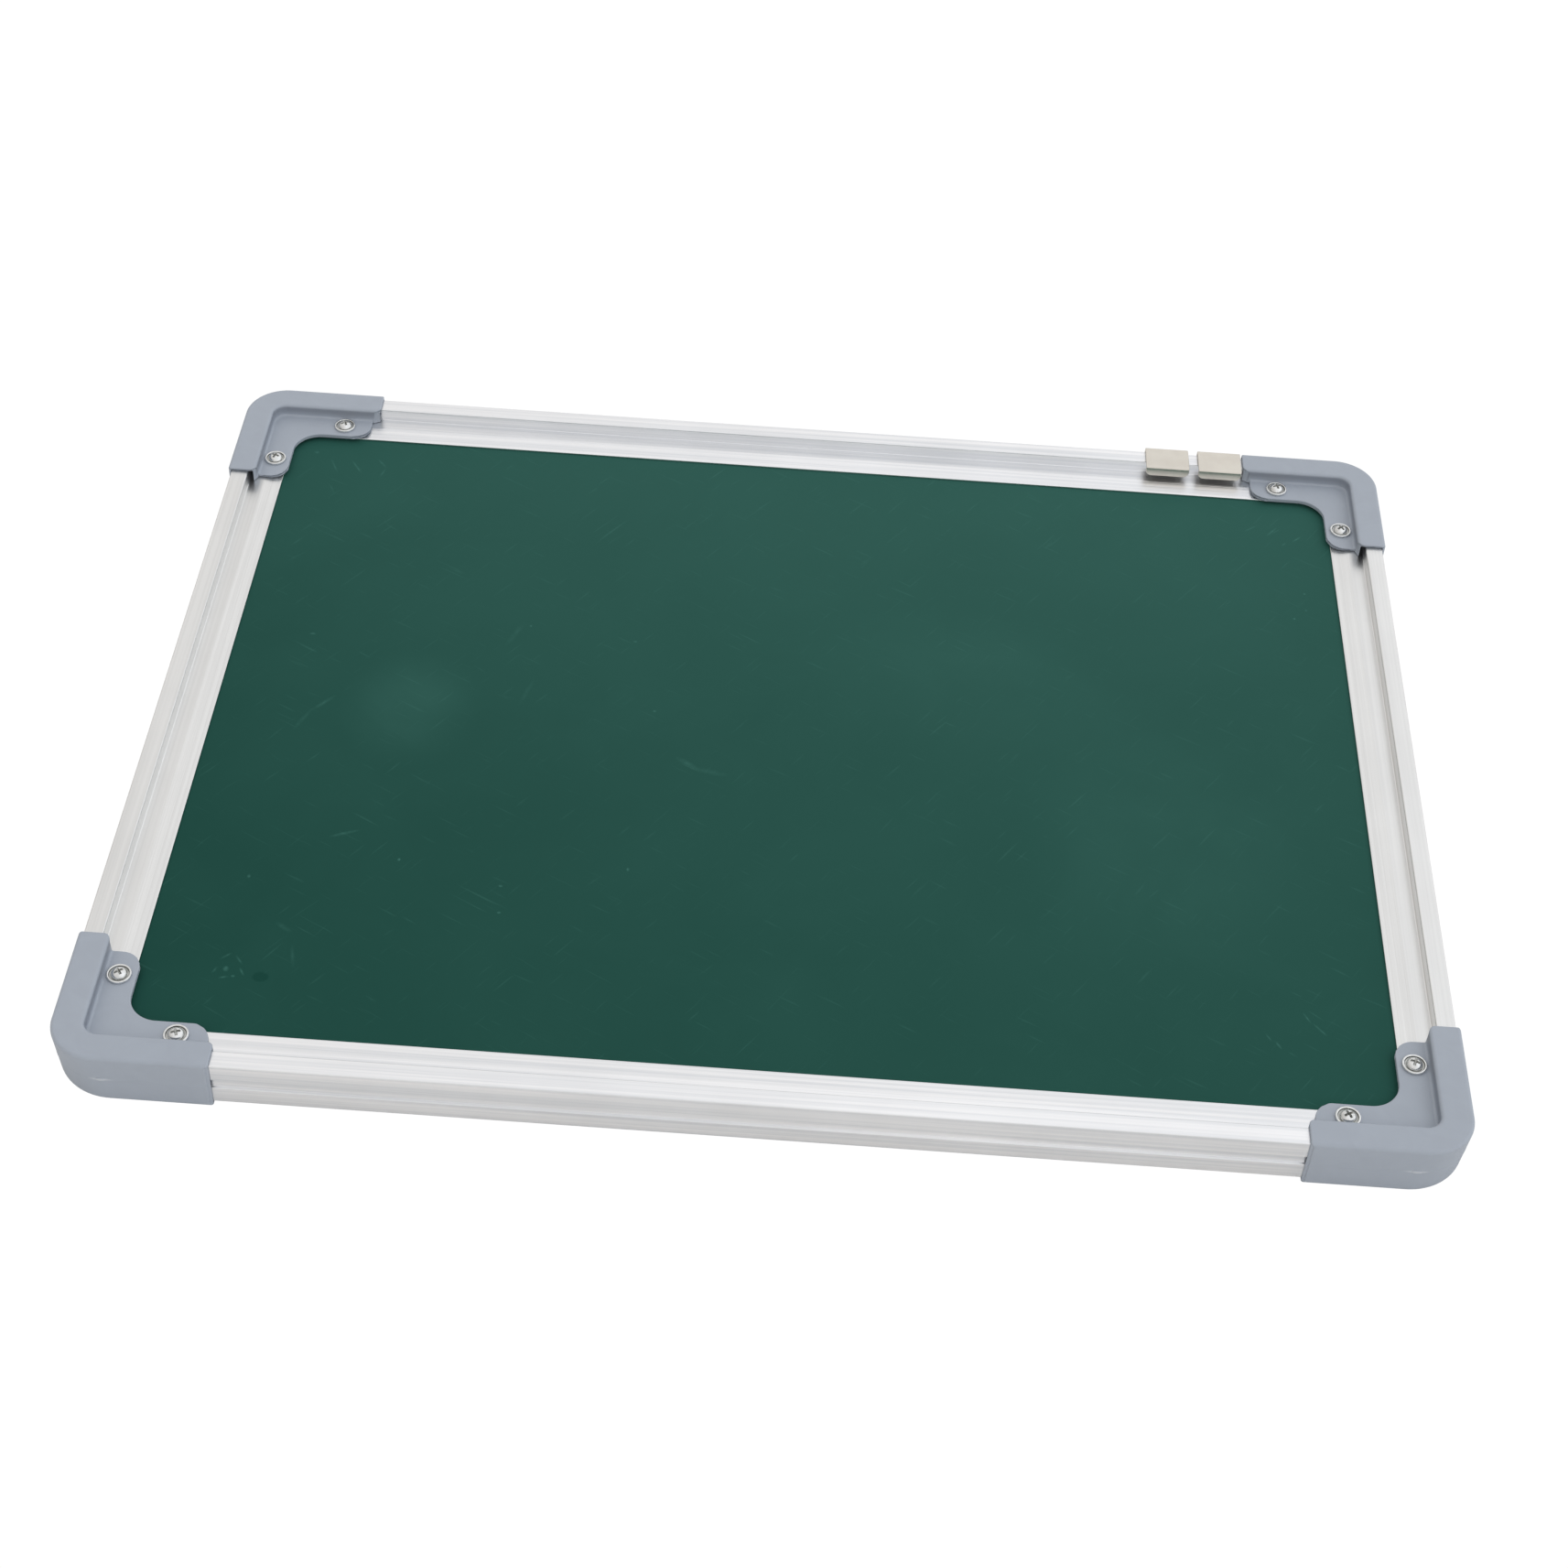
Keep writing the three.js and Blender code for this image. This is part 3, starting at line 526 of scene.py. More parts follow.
@dataclass(frozen=True)
class ChalkboardEnamel(Finish):
    """Roller-coated matt green enamel on steel sheet, with dust, smudges, fine rubs and a painted
    sheen.
    """

    relief: Pair = (0.15, 0.02)
    dusty: str = "5a958a"
    orange_peel_mm: float = 0.7
    cloud_mm: float = 60.0
    cloud_field: Pair = (0.3, 0.7)
    film: Pair = (0.115, 0.145)
    wiped: Pair = (0.6, 1.3)
    speckle_mm: float = 1.6
    speckle_field: Pair = (0.35, 0.65)
    speckle: Pair = (0.35, 1.25)
    stroke_mm: Pair = (16.0, 1.1)
    stroke_turns: Pair = (0.5, 2.2)
    stroke_field: Pair = (0.68, 0.82)
    stroke_dust: float = 0.09
    # Painted sheen: a slope and a bow of lightening across the face
    drift: Triple = (1.9e-4, 4.6e-4, 0.0)
    edge_drift: Triple = (-7.0e-7, 1.2e-6, 0.0)
    rubs: tuple[Rub, ...] = RUBS
    smudges: tuple[Smudge, ...] = SMUDGES
    specks: tuple[Smudge, ...] = SPECKS

    def dress(self, tree: Tree, place: Source) -> Looks:
        """Clouded green under a broken film of dust and a painted sheen, with a faint roller
        texture.
        """
        add = partial(add_node, tree)
        clouds = add(Kind.NOISE, {
            "Scale": 1 / self.cloud_mm, "Detail": 4.0, "Roughness": 0.55, "Distortion": 0.6,
            "Vector": place,
        })
        specks = add(Kind.NOISE, {
            "Scale": 1 / self.speckle_mm, "Detail": 4.0, "Roughness": 0.7, "Vector": place,
        })
        # A wiped patch is uneven over the width of a fingertip, a speck or rub over a millimetre
        film, wiped, patchy = (
            add(Kind.RANGE, {
                "From Min": start, "From Max": end, "To Min": least, "To Max": most,
                "Value": pattern,
            })
            for pattern, (start, end), (least, most) in (
                (clouds, self.cloud_field, self.film),
                (clouds, self.cloud_field, self.wiped),
                (specks, self.speckle_field, self.speckle),
            )
        )
        # Painted sheen: the green is made lighter towards the far edge and darkest in the near left
        # corner, standing in for the reflection that grows as the view grazes the face
        drift = add(Kind.VECTOR, {"operation": "DOT_PRODUCT", 1: self.drift, 0: place})
        squares = add(Kind.VECTOR, {"operation": "MULTIPLY", 0: place, 1: place})
        sheen_bowed = add(Kind.VECTOR, {"operation": "DOT_PRODUCT", 1: self.edge_drift, 0: squares})
        painted_sheen = add(Kind.MATH, {"operation": "ADD", 0: drift, 1: sheen_bowed})
        dust_and_sheen = add(Kind.MATH, {"operation": "ADD", "use_clamp": True, 0: film, 1: painted_sheen})
        for turn in self.stroke_turns:
            dust_and_sheen = self.stroked(tree, place, dust_and_sheen, turn)
        for marks, uneven in ((self.smudges, wiped), (self.specks, patchy), (self.rubs, patchy)):
            for mark in marks:
                dust_and_sheen = add(Kind.MATH, {
                    "operation": "MULTIPLY_ADD", 0: mark.strewn(tree, place), 1: uneven, 2: dust_and_sheen,
                })
        tone = self.two_tone(tree, self.dusty, dust_and_sheen, (0.0, 1.0))
        peel = add(Kind.NOISE, {"Scale": 1 / self.orange_peel_mm, "Detail": 2.0, "Vector": place})
        return tone, clouds, peel

    def stroked(self, tree: Tree, place: Source, dust_and_sheen: Source, turn: float) -> Node:
        """Adds sparse faint strokes, as a dry duster leaves them, that run in one direction.

        Args:
            tree: The material's node tree.
            place: The point on the face, in millimetres.
            dust_and_sheen: The dust and painted sheen so far.
            turn: The strokes' direction, in radians from the long side.

        Returns:
            The dust and painted sheen with the strokes.
        """
        add = partial(add_node, tree)
        shrink = (1 / self.stroke_mm[0], 1 / self.stroke_mm[1], 0.0)
        turned = add(Kind.ROTATE, {"rotation_type": "Z_AXIS", "Angle": turn, "Vector": place})
        drawn = add(Kind.VECTOR, {"operation": "MULTIPLY", 1: shrink, 0: turned})
        strokes = add(Kind.NOISE, {
            "Scale": 1.0, "Detail": 1.0, "Distortion": 0.3, "Vector": drawn,
        })
        crests = add(Kind.RANGE, {
            "From Min": self.stroke_field[0], "From Max": self.stroke_field[1],
            "To Max": self.stroke_dust, "Value": strokes,
        })
        return add(Kind.MATH, {"operation": "ADD", 0: dust_and_sheen, 1: crests})


@dataclass(frozen=True)
class PlatedSteel(Finish):
    """Pressed steel under a thin bright plating, slightly mottled, with fine rubs."""

    gloss_spread: Pair = (-0.06, 0.1)
    relief: Pair = (0.2, 0.01)
    dull: str = "b9b9b6"
    mottle_mm: float = 1.2
    mottle_field: Pair = (0.35, 0.7)
    rub_mm: float = 0.25

    def dress(self, tree: Tree, place: Source) -> Looks:
        """Mottled tone, as plating takes on pressed steel, over fine tool rubs in the gloss."""
        add = partial(add_node, tree)
        mottle = add(Kind.NOISE, {"Scale": 1 / self.mottle_mm, "Detail": 3.0, "Vector": place})
        tone = self.two_tone(tree, self.dull, mottle, self.mottle_field)
        rubs = add(Kind.NOISE, {
            "Scale": 1 / self.rub_mm, "Detail": 2.0, "Distortion": 0.8, "Vector": place,
        })
        return tone, rubs, rubs


@dataclass(frozen=True)
class RolledLacquer(Finish):
    """White stoving lacquer on the rear sheet, glossy with a faint roller waviness."""

    gloss_spread: Pair = (-0.05, 0.08)
    relief: Pair = (0.1, 0.02)
    warm: str = "e4e3df"
    patch_mm: float = 45.0
    wave_mm: float = 3.0

    def dress(self, tree: Tree, place: Source) -> Looks:
        """Slight yellowing in broad patches, and a long-wave relief that bends reflections."""
        add = partial(add_node, tree)
        patches = add(Kind.NOISE, {"Scale": 1 / self.patch_mm, "Detail": 3.0, "Vector": place})
        tone = self.two_tone(tree, self.warm, patches, (0.0, 1.0))
        waves = add(Kind.NOISE, {"Scale": 1 / self.wave_mm, "Detail": 2.0, "Vector": place})
        return tone, patches, waves


@dataclass(frozen=True)
class PressedFibre(Finish):
    """Raw fibreboard, seen only where the core shows through a screw hole."""

    relief: Pair = (0.4, 0.1)
    dark: str = "8f7650"
    fibre_mm: float = 0.6

    def dress(self, tree: Tree, place: Source) -> Looks:
        """Matted fibres in two browns, and the loose nap that they leave."""
        add = partial(add_node, tree)
        fibres = add(Kind.NOISE, {
            "Scale": 1 / self.fibre_mm, "Detail": 5.0, "Distortion": 1.2, "Vector": place,
        })
        return self.two_tone(tree, self.dark, fibres, (1.0, 0.0)), None, fibres


LONG_RAIL_FINISH = ExtrudedAluminium("anodised_aluminium_drawn_along_x", "e8eaed", 0.32, 1.0)
# Painted shade: the short rails get a slightly darker, warmer copy of the long rails' colours, for
# the dimmer light that they catch
SHADED_SHORT_RAIL_FINISH = ExtrudedAluminium(
    "anodised_aluminium_drawn_along_y_painted_shade", "e4e4e3", 0.32, 1.0, along=Along.Y, pale="eeeeed"
)
CORNER_FINISH = MouldedAbs("moulded_grey_abs", "a6aeb9", 0.46, ior=1.54)
WRITING_FINISH = ChalkboardEnamel("matt_green_enamel", "15443b", 0.6, specular=0.06)
SCREW_FINISH = PlatedSteel("bright_zinc_plating", "eceded", 0.2, 1.0, dull="d5d6d4")
# Painted shade: a darker zinc for the cross recess and the groove round the dome
SHADED_RECESS_FINISH = PlatedSteel("zinc_with_painted_recess_shade", "c2c3c0", 0.34, 1.0, dull="a6a7a4")
CLIP_FINISH = PlatedSteel("satin_nickel_plating", "dfdad0", 0.3, 1.0, dull="d9d3c9", mottle_mm=6.0)
REAR_FINISH = RolledLacquer("white_stoving_lacquer", "eef0f0", 0.28)
CORE_FINISH = PressedFibre("raw_pressed_fibreboard", "bfa478", 0.9)


# ---------------------------------------------------------------- mesh work


def fillet_path(corners: Sequence[Triple], closed: bool, step: float = QUARTER / 6) -> list[Vector]:
    """Rounds the corners of a path.

    Args:
        corners: Corners as place in U, place in V, and radius.
        closed: Whether the path runs back to its start.
        step: Largest angle between two points on a rounded corner.

    Returns:
        The points of the rounded path, in order.
    """
    points: list[Vector] = []
    for number, (u, v, radius) in enumerate(corners):
        corner = Vector((u, v))
        at_end = not closed and number in (0, len(corners) - 1)
        if radius <= 0 or at_end:
            points.append(corner)
            continue
        before = Vector(corners[number - 1][:2]) - corner
        after = Vector(corners[(number + 1) % len(corners)][:2]) - corner
        half = before.angle(after) / 2
        reach = min(radius / math.tan(half), FILLET_SHARE * min(before.length, after.length))
        fillet = reach * math.tan(half)
        before.normalize()
        after.normalize()
        centre = corner + (before + after).normalized() * (fillet / math.sin(half))
        first = corner + before * reach - centre
        last = corner + after * reach - centre
        turn = math.atan2(first.x * last.y - first.y * last.x, first.dot(last))
        steps = max(2, math.ceil(abs(turn) / step))
        for part in range(steps + 1):
            points.append(centre + Matrix.Rotation(turn * part / steps, 2) @ first)
    return points


def spaced(points: Sequence[Vector], longest: float, closed: bool) -> list[Vector]:
    """Adds points so that no piece of a path is longer than asked.

    Args:
        points: The path.
        longest: The longest piece allowed.
        closed: Whether the path runs back to its start.

    Returns:
        The path with the added points.
    """
    made: list[Vector] = []
    last = len(points) if closed else len(points) - 1
    for number in range(last):
        start = points[number]
        end = points[(number + 1) % len(points)]
        parts = max(1, math.ceil((end - start).length / longest))
        made += [start.lerp(end, part / parts) for part in range(parts)]
    return made if closed else [*made, points[-1]]


def loft(bm: Mesh, rings: Sequence[Sequence[Vector]]) -> list[list[Vertex]]:
    """Skins a row of closed rings that have the same number of points.

    Args:
        bm: The mesh that gets the skin.
        rings: The rings, in order.

    Returns:
        The vertices, ring by ring.
    """
    grid = [[bm.verts.new(point) for point in ring] for ring in rings]
    for one, two in zip(grid, grid[1:]):
        count = len(one)
        for place in range(count):
            after = (place + 1) % count
            bm.faces.new((one[place], one[after], two[after], two[place]))
    return grid


def cap(
    bm: Mesh, loops: Sequence[Sequence[Vertex]], outlines: Sequence[Sequence[Vector]]
) -> None:
    """Closes an end, given its vertex loops and the same loops drawn flat.

    Args:
        bm: The mesh that gets the faces.
        loops: The outer loop, then the loops of any holes.
        outlines: The same loops as flat outlines.
    """
    corners = [vertex for ring in loops for vertex in ring]
    flat = [[Vector((point[0], point[1], 0.0)) for point in line] for line in outlines]
    for triangle in tessellate_polygon(flat):
        bm.faces.new([corners[number] for number in triangle])


def to_object(name: str, bm: Mesh) -> Piece:
    """Turns a mesh under construction into an object at the origin.

    Args:
        name: The object's name.
        bm: The mesh, which is freed.

    Returns:
        The new object.
    """
    bmesh.ops.remove_doubles(bm, verts=bm.verts, dist=WELD)
    bmesh.ops.recalc_face_normals(bm, faces=bm.faces)
    mesh = bpy.data.meshes.new(name)
    bm.to_mesh(mesh)
    bm.free()
    made = bpy.data.objects.new(name, mesh)
    bpy.context.scene.collection.objects.link(made)
    return made


def settle(made: Piece) -> Piece:
    """Replaces an object's mesh by what its modifiers make of it.

    Args:
        made: The object.

    Returns:
        The same object, without modifiers.
    """
    graph = bpy.context.evaluated_depsgraph_get()
    mesh = bpy.data.meshes.new_from_object(made.evaluated_get(graph))
    made.modifiers.clear()
    spent = made.data
    made.data = mesh
    bpy.data.meshes.remove(spent)
    return made


def carve(body: Piece, tool: Piece, operation: str) -> Piece:
    """Cuts or joins one closed mesh with another, which is used up.

    Args:
        body: The mesh that is worked on.
        tool: The mesh that works on it.
        operation: DIFFERENCE or UNION.

    Returns:
        The body, with its new mesh.
    """
    work = body.modifiers.new("work", "BOOLEAN")
    work.operation = operation
    work.solver = "MANIFOLD"
    work.object = tool
    settle(body)
    bpy.data.objects.remove(tool)
    return body


def soften(made: Piece, width: float, over: float) -> Piece:
    """Breaks the sharp edges of a mesh.

    Args:
        made: The object.
        width: Width of the broken edge, in the mesh's own unit.
        over: Smallest angle of an edge that is broken.

    Returns:
        The object, with its new mesh.
    """
    work = made.modifiers.new("broken_edges", "BEVEL")
    work.width = width
    work.segments = 2
    work.limit_method = "ANGLE"
    work.angle_limit = over
    work.use_clamp_overlap = True
    return settle(made)


def solid(name: str, *lofts: Sequence[Sequence[Vector]]) -> Piece:
    """Builds one object of lofts whose two ends are closed by a face each.

    Args:
        name: The object's name.
        lofts: The rings of each loft, in order.

    Returns:
        The new object.
    """
    bm = bmesh.new()
    for rings in lofts:
        grid = loft(bm, rings)
        bm.faces.new(grid[0])
        bm.faces.new(grid[-1])
    return to_object(name, bm)


def drill(
    body: Piece, feet: Sequence[Vector], radius: float, length: float, sides: int = 32
) -> None:
    """Drills upright round holes.

    Args:
        body: The object that is drilled.
        feet: The lower end of each hole.
        radius: The holes' radius.
        length: Their length.
        sides: Facets round each hole.
    """
    angles = [2 * math.pi * side / sides for side in range(sides)]
    bars = []
    for foot in feet:
        ring = [Vector((radius * math.cos(a), radius * math.sin(a), 0.0)) + foot for a in angles]
        bars.append([ring, [point + Vector((0.0, 0.0, length)) for point in ring]])
    carve(body, solid("drill", *bars), "DIFFERENCE")


def shade(
    made: Piece, finish: Finish | None = None, sharp_over: float = math.radians(32)
) -> None:
    """Gives an object its finish, and smooth shading that stops at sharp edges.

    Args:
        made: The object.
        finish: Its finish, or None where its faces have theirs already.
        sharp_over: Smallest angle of an edge that stays sharp.
    """
    mesh = made.data
    if finish:
        mesh.materials.clear()
        mesh.materials.append(finish.material())
    mesh.polygons.foreach_set("use_smooth", [True] * len(mesh.polygons))
    mesh.set_sharp_from_angle(angle=sharp_over)
    weighted = made.modifiers.new("flat_faces_stay_flat", "WEIGHTED_NORMAL")
    weighted.keep_sharp = True


def install(made: Piece, node: str, body: Body) -> None:
    """Puts a finished piece in the place of its CAD node.

    Args:
        made: The piece, with its place in its mesh.
        node: The CAD node that it stands for.
        body: The body that it rides on.
    """
    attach(made, body.value)
    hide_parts(node)
    LOG.info("%s: %d faces, rides on %s", made.name, len(made.data.polygons), body.value)


# ---------------------------------------------------------------- sub-assemblies


@dataclass
class BoardSizes:
    """Sizes that the sub-assemblies share, in millimetres."""

    length: float = 400.0
    height: float = 310.0
    thickness: float = 15.4
    lift: float = 1.15
    screw_along: float = 33.9
    screw_inset: float = 12.9
    screw_hole: float = 1.6

    @property
    def middle(self) -> float:
        """Middle level of the rails above their underside."""
        return self.thickness / 2

    def placed(self, x: float, y: float, quarter_turns: int) -> Matrix:
        """Placement of a piece drawn in millimetres from a side or a corner of the board.

        Args:
            x: Place of its origin in X.
            y: Place of its origin in Y.
            quarter_turns: Quarter turns about Z.

        Returns:
            The placement, from millimetres to metres.
        """
        turn = Matrix.Rotation(quarter_turns * QUARTER, 4, "Z")
        return Matrix.Scale(MM, 4) @ Matrix.Translation((x, y, self.lift)) @ turn

    def at(self, place: Side | CornerPlace) -> Matrix:
        """Placement of a piece drawn from one side or one corner."""
        _, x, y, turns = place.value
        return self.placed(x * self.length / 2, y * self.height / 2, turns)


@dataclass
class ChannelRails:
    """Four rails of one hollow extruded section, cut square inside the corner mouldings."""

    board: BoardSizes
    face_width: float = 16.7
    wall: float = 1.0
    band_width: float = 5.8
    band_edge: float = 0.5
    step_depth: float = 4.4
    step_foot: float = 0.4
    slope_width: float = 5.9
    lip_fall: float = 0.8
    lip_thickness: float = 0.6
    lip_land: float = 1.2
    lip_edge: float = 0.2
    web_setback: float = 1.2
    groove_width: float = 3.6
    groove_depth: float = 0.75
    groove_slope: float = 0.3
    line_count: int = 3
    line_pitch: float = 1.8
    line_from_lip: float = 1.3
    line_width: float = 0.5
    line_depth: float = 0.024
    line_rounds: Pair = (0.3, 0.2)
    wall_round: float = 0.12
    slope_round: float = 1.5
    slot_round: float = 0.1
    chamber_rounds: Pair = (0.2, 0.3)
    station: float = 12.0
    end_from_corner: float = 18.0
    drill_over: float = 1.0

    def flange_rise(self, u: float) -> float:
        """Rise of the flange's face above the middle level at a place across the rail."""
        share = max(0.0, (u - self.face_width + self.slope_width) / self.slope_width)
        return self.board.middle - self.step_depth - self.lip_fall * share

    def pressed_lines(self) -> list[Triple]:
        """Draws the fine lines beside the lip, each a small round-bottomed groove.

        Returns:
            Their corners, from the band outwards.
        """
        corners: list[Triple] = []
        brim, bottom = self.line_rounds
        for line in reversed(range(self.line_count)):
            centre = self.face_width - self.line_from_lip - line * self.line_pitch
            for side, depth, radius in ((-1, 0, brim), (0, self.line_depth, bottom), (1, 0, brim)):
                u = centre + side * self.line_width / 2
                corners.append((u, self.flange_rise(u) - depth, radius))
        return corners

    def outside(self) -> list[Triple]:
        """Draws the upper half of the section's outside.

        Returns:
            Its corners, from the outer groove round to the slot.
        """
        half_groove = self.groove_width / 2
        rise = self.board.middle
        flange = self.flange_rise(0.0)
        lip = self.flange_rise(self.face_width)
        under_lip = lip - self.lip_thickness
        slot = flange - self.wall
        land = self.face_width - self.lip_land
        floor = self.band_width + self.web_setback + self.wall
        return [
            (self.groove_depth, half_groove - self.groove_slope, self.wall_round),
            (0.0, half_groove, self.wall_round),
            (0.0, rise, self.band_edge),
            (self.band_width, rise, self.band_edge),
            (self.band_width, flange, self.step_foot),
            (self.face_width - self.slope_width, flange, self.slope_round),
            *self.pressed_lines(),
            (self.face_width, lip, self.lip_edge),
            (self.face_width, under_lip, self.wall_round),
            (land, under_lip, self.slot_round),
            (land, slot, self.slot_round),
            (floor, slot, 2 * self.slot_round),
        ]

    def hollow(self) -> list[Triple]:
        """Draws the upper half of the chamber inside the section.

        Returns:
            Its corners.
        """
        slot = self.flange_rise(0.0) - self.wall
        small, large = self.chamber_rounds
        return [
            (self.groove_depth + self.wall, self.groove_width / 2, small),
            (self.wall, self.groove_width / 2 + self.wall, large),
            (self.wall, self.board.middle - self.wall, large),
            (self.band_width - self.wall, self.board.middle - self.wall, large),
            (self.band_width - self.wall, slot, small),
            (self.band_width + self.web_setback, slot, small),
        ]

    def whole(self, upper: Sequence[Triple]) -> list[Vector]:
        """Mirrors the upper half of an outline about the middle level and rounds it.

        Args:
            upper: The upper half, as places across the rail, levels and radii.

        Returns:
            The whole outline, standing on the underside.
        """
        lower = [(u, -rise, radius) for u, rise, radius in reversed(upper)]
        lift = Vector((0.0, self.board.middle))
        return [point + lift for point in fillet_path([*upper, *lower], closed=True)]

    def make(self, name: str, side_length: float, placement: Matrix) -> Piece:
        """Builds one rail with its drilled screw holes.

        Args:
            name: The object's name.
            side_length: Length of the board along this rail.
            placement: Placement of the rail's own frame.

        Returns:
            The rail.
        """
        half = side_length / 2 - self.end_from_corner
        outside, hollow = self.whole(self.outside()), self.whole(self.hollow())
        parts = max(2, round(2 * half / self.station))
        stations = [-half + 2 * half * part / parts for part in range(parts + 1)]
        bm = bmesh.new()
        grids = [
            loft(bm, [[Vector((x, p.x, p.y)) for p in outline] for x in stations])
            for outline in (outside, hollow)
        ]
        for end in (0, -1):
            cap(bm, [grid[end] for grid in grids], [outside, hollow])
        rail = to_object(name, bm)
        along = side_length / 2 - self.board.screw_along
        over = self.drill_over
        feet = [Vector((side * along, self.board.screw_inset, -over)) for side in (-1, 1)]
        drill(rail, feet, self.board.screw_hole, self.board.thickness + 2 * over)
        rail.data.transform(placement)
        return rail

    def build(self) -> None:
        """Builds and installs the four rails."""
        for side in Side:
            ending = side.value[0]
            long_rail = side in (Side.BOTTOM, Side.TOP)
            side_length = self.board.length if long_rail else self.board.height
            rail = self.make(f"extruded_rail_{ending}", side_length, self.board.at(side))
            shade(rail, LONG_RAIL_FINISH if long_rail else SHADED_SHORT_RAIL_FINISH)
            install(rail, f"rail_{ending}", Body.FRAME)


@dataclass(frozen=True)
class SweptLine:
    """One line of a section that is swept round a corner, in millimetres."""

    point: Vector
    outward: Vector
    ease: float
    radius: float
    end: float


@dataclass
class CornerMouldings:
    """Four thin-walled mouldings that wrap the rail ends, each a tall band with two flanges.

    Every line of a section keeps its level all the way round and turns the corner on a radius
    of its own, so the band and the flanges are swept point by point and then joined.
    """

    board: BoardSizes
    wall: float = 1.0
    fit: float = 0.15
    band_inner: float = 8.4
    band_lean: float = 0.15
    step_depth: float = 4.4
    rail_face: float = 16.7
    slope_width: float = 5.9
    rib_fall: float = 0.45
    overhang: float = 1.3
    leg: float = 46.0
    band_round: float = 1.15
    inside_round: float = 0.3
    foot_round: float = 1.3
    foot_bury: float = 0.03
    flange_round: float = 0.35
    seam_width: float = 0.24
    seam_height: float = 0.05
    outside_ease: float = 0.45
    inside_ease: float = 0.2
    flange_ease: float = 0.3
    end_edge_radius: float = 0.8
    band_end_radius: float = 2.2
    flange_setback: float = 2.9
    flange_end_radius: float = 6.0
    arc_parts: int = 20
    end_parts: int = 4
    leg_shares: Triple = (0.25, 0.5, 0.75)
    step_outside: float = 0.9
    step_inside: float = 1.2
    foot_run: float = 1.3
    slope_round: float = 0.5
    under_round: float = 0.15
    seam_round: float = 0.05
    outer_radius: float = 14.0
    inner_radius: float = 4.4
    flange_radius: float = 9.0
    radius_growth: float = 4.0
    gate_along: float = 15.0
    gate_size: Triple = (1.5, 0.3, 0.6)
    gate_rings: int = 12
    gate_sides: int = 16
    drill_over: float = 2.0

    @property
    def outset(self) -> float:
        """How far the moulding stands out from the rails."""
        return self.wall + self.fit

    @property
    def flange_under(self) -> float:
        """Level of a flange's underside above the middle of the rails."""
        return self.board.middle - self.step_depth + self.fit

    @property
    def flange_edge(self) -> float:
        """Place of a flange's inner edge across the rail."""
        return self.rail_face + self.overhang

    def band_face(self, level: float) -> float:
        """Finds the band's leaning inner face.

        Args:
            level: Level above the middle.

        Returns:
            Its place across the rail.
        """
        top = self.board.middle + self.outset
        share = (top - level) / (top - self.flange_under)
        return self.band_inner + self.band_lean * share

    def band_outside(self) -> list[Vector]:
        """Draws the outside of the band's section.

        Returns:
            Its points, from the upper foot round to the lower foot.
        """
        top = self.board.middle + self.outset
        upper = [
            (self.band_face(self.flange_under), self.flange_under, 0.0),
            (self.band_inner, top, self.band_round),
            (-self.outset, top, self.band_round),
            (-self.outset, self.seam_width / 2, 0.0),
        ]
        seam = [(-self.outset - self.seam_height, 0.0, self.seam_round)]
        lower = [(u, -v, radius) for u, v, radius in reversed(upper)]
        path = fillet_path([*upper, *seam, *lower], closed=False)
        return spaced(path, self.step_outside, closed=False)

    def band_inside(self) -> list[Vector]:
        """Draws the inside of the band's section.

        Returns:
            Its points, from the lower foot back to the upper foot.
        """
        top = self.board.middle + self.fit
        side = self.band_inner - self.wall
        lower = [
            (side, -self.flange_under, 0.0),
            (side, -top, self.inside_round),
            (-self.fit, -top, self.inside_round),
        ]
        upper = [(u, -v, radius) for u, v, radius in reversed(lower)]
        return spaced(fillet_path([*lower, *upper], closed=False), self.step_inside, closed=False)

    def flange_section(self, side: int) -> list[Vector]:
        """Section of one flange, from inside the band's wall to its edge over the panel.

        Args:
            side: Plus one for the face of the board, minus one for its back.

        Returns:
            The closed section. Its underside bears on the slope of the rail as far as the lip.
        """
        under, top = self.flange_under, self.flange_under + self.wall
        buried = self.band_inner - self.wall / 2
        slope_start = self.rail_face - self.slope_width
        lip = self.rail_face + self.fit
        foot = self.band_face(top) - self.foot_bury
        crest = top + self.foot_run * self.foot_round
        corners = [
            (buried, under, 0.0),
            (slope_start, under, self.slope_round),
            (lip, under - self.rib_fall, self.under_round),
            (self.flange_edge, under - self.rib_fall, self.under_round),
            (self.flange_edge, top, self.flange_round),
            (foot, top, self.foot_round),
            (self.band_face(crest) - self.foot_bury, crest, 0.0),
            (buried, crest, 0.0),
        ]
        path = fillet_path([(u, side * v, radius) for u, v, radius in corners], closed=True)
        return spaced(path, self.step_inside, closed=True)

    def corner_radius(self, u: float, v: float) -> float:
        """Radius on which a line of the section turns the corner.

        Args:
            u: The line's place across the rail.
            v: Its level above the middle. The outer wall's radius grows towards the underside.

        Returns:
            The radius in plan.
        """
        half = self.board.middle + self.outset
        share = max(0.0, (self.band_inner - u) / (self.band_inner + self.outset))
        growth = self.radius_growth * share * (half - v) / (2 * half)
        places = (-self.outset, self.band_inner, self.flange_edge)
        radii = (self.outer_radius, self.inner_radius, self.flange_radius)
        return growth + float(np.interp(u, places, radii))

    def band_end(self, u: float) -> float:
        """Finds where the band of a leg ends. Its two corners are rounded in plan.

        Args:
            u: Place across the rail.

        Returns:
            Place along the rail.
        """
        outer, inner = self.end_edge_radius, self.band_end_radius
        near = min(max(outer - (u + self.outset), 0.0), outer)
        past = min(max(u - self.band_inner + inner, 0.0), inner)
        drop = outer - math.sqrt(outer**2 - near**2) + inner - math.sqrt(inner**2 - past**2)
        return self.leg - drop

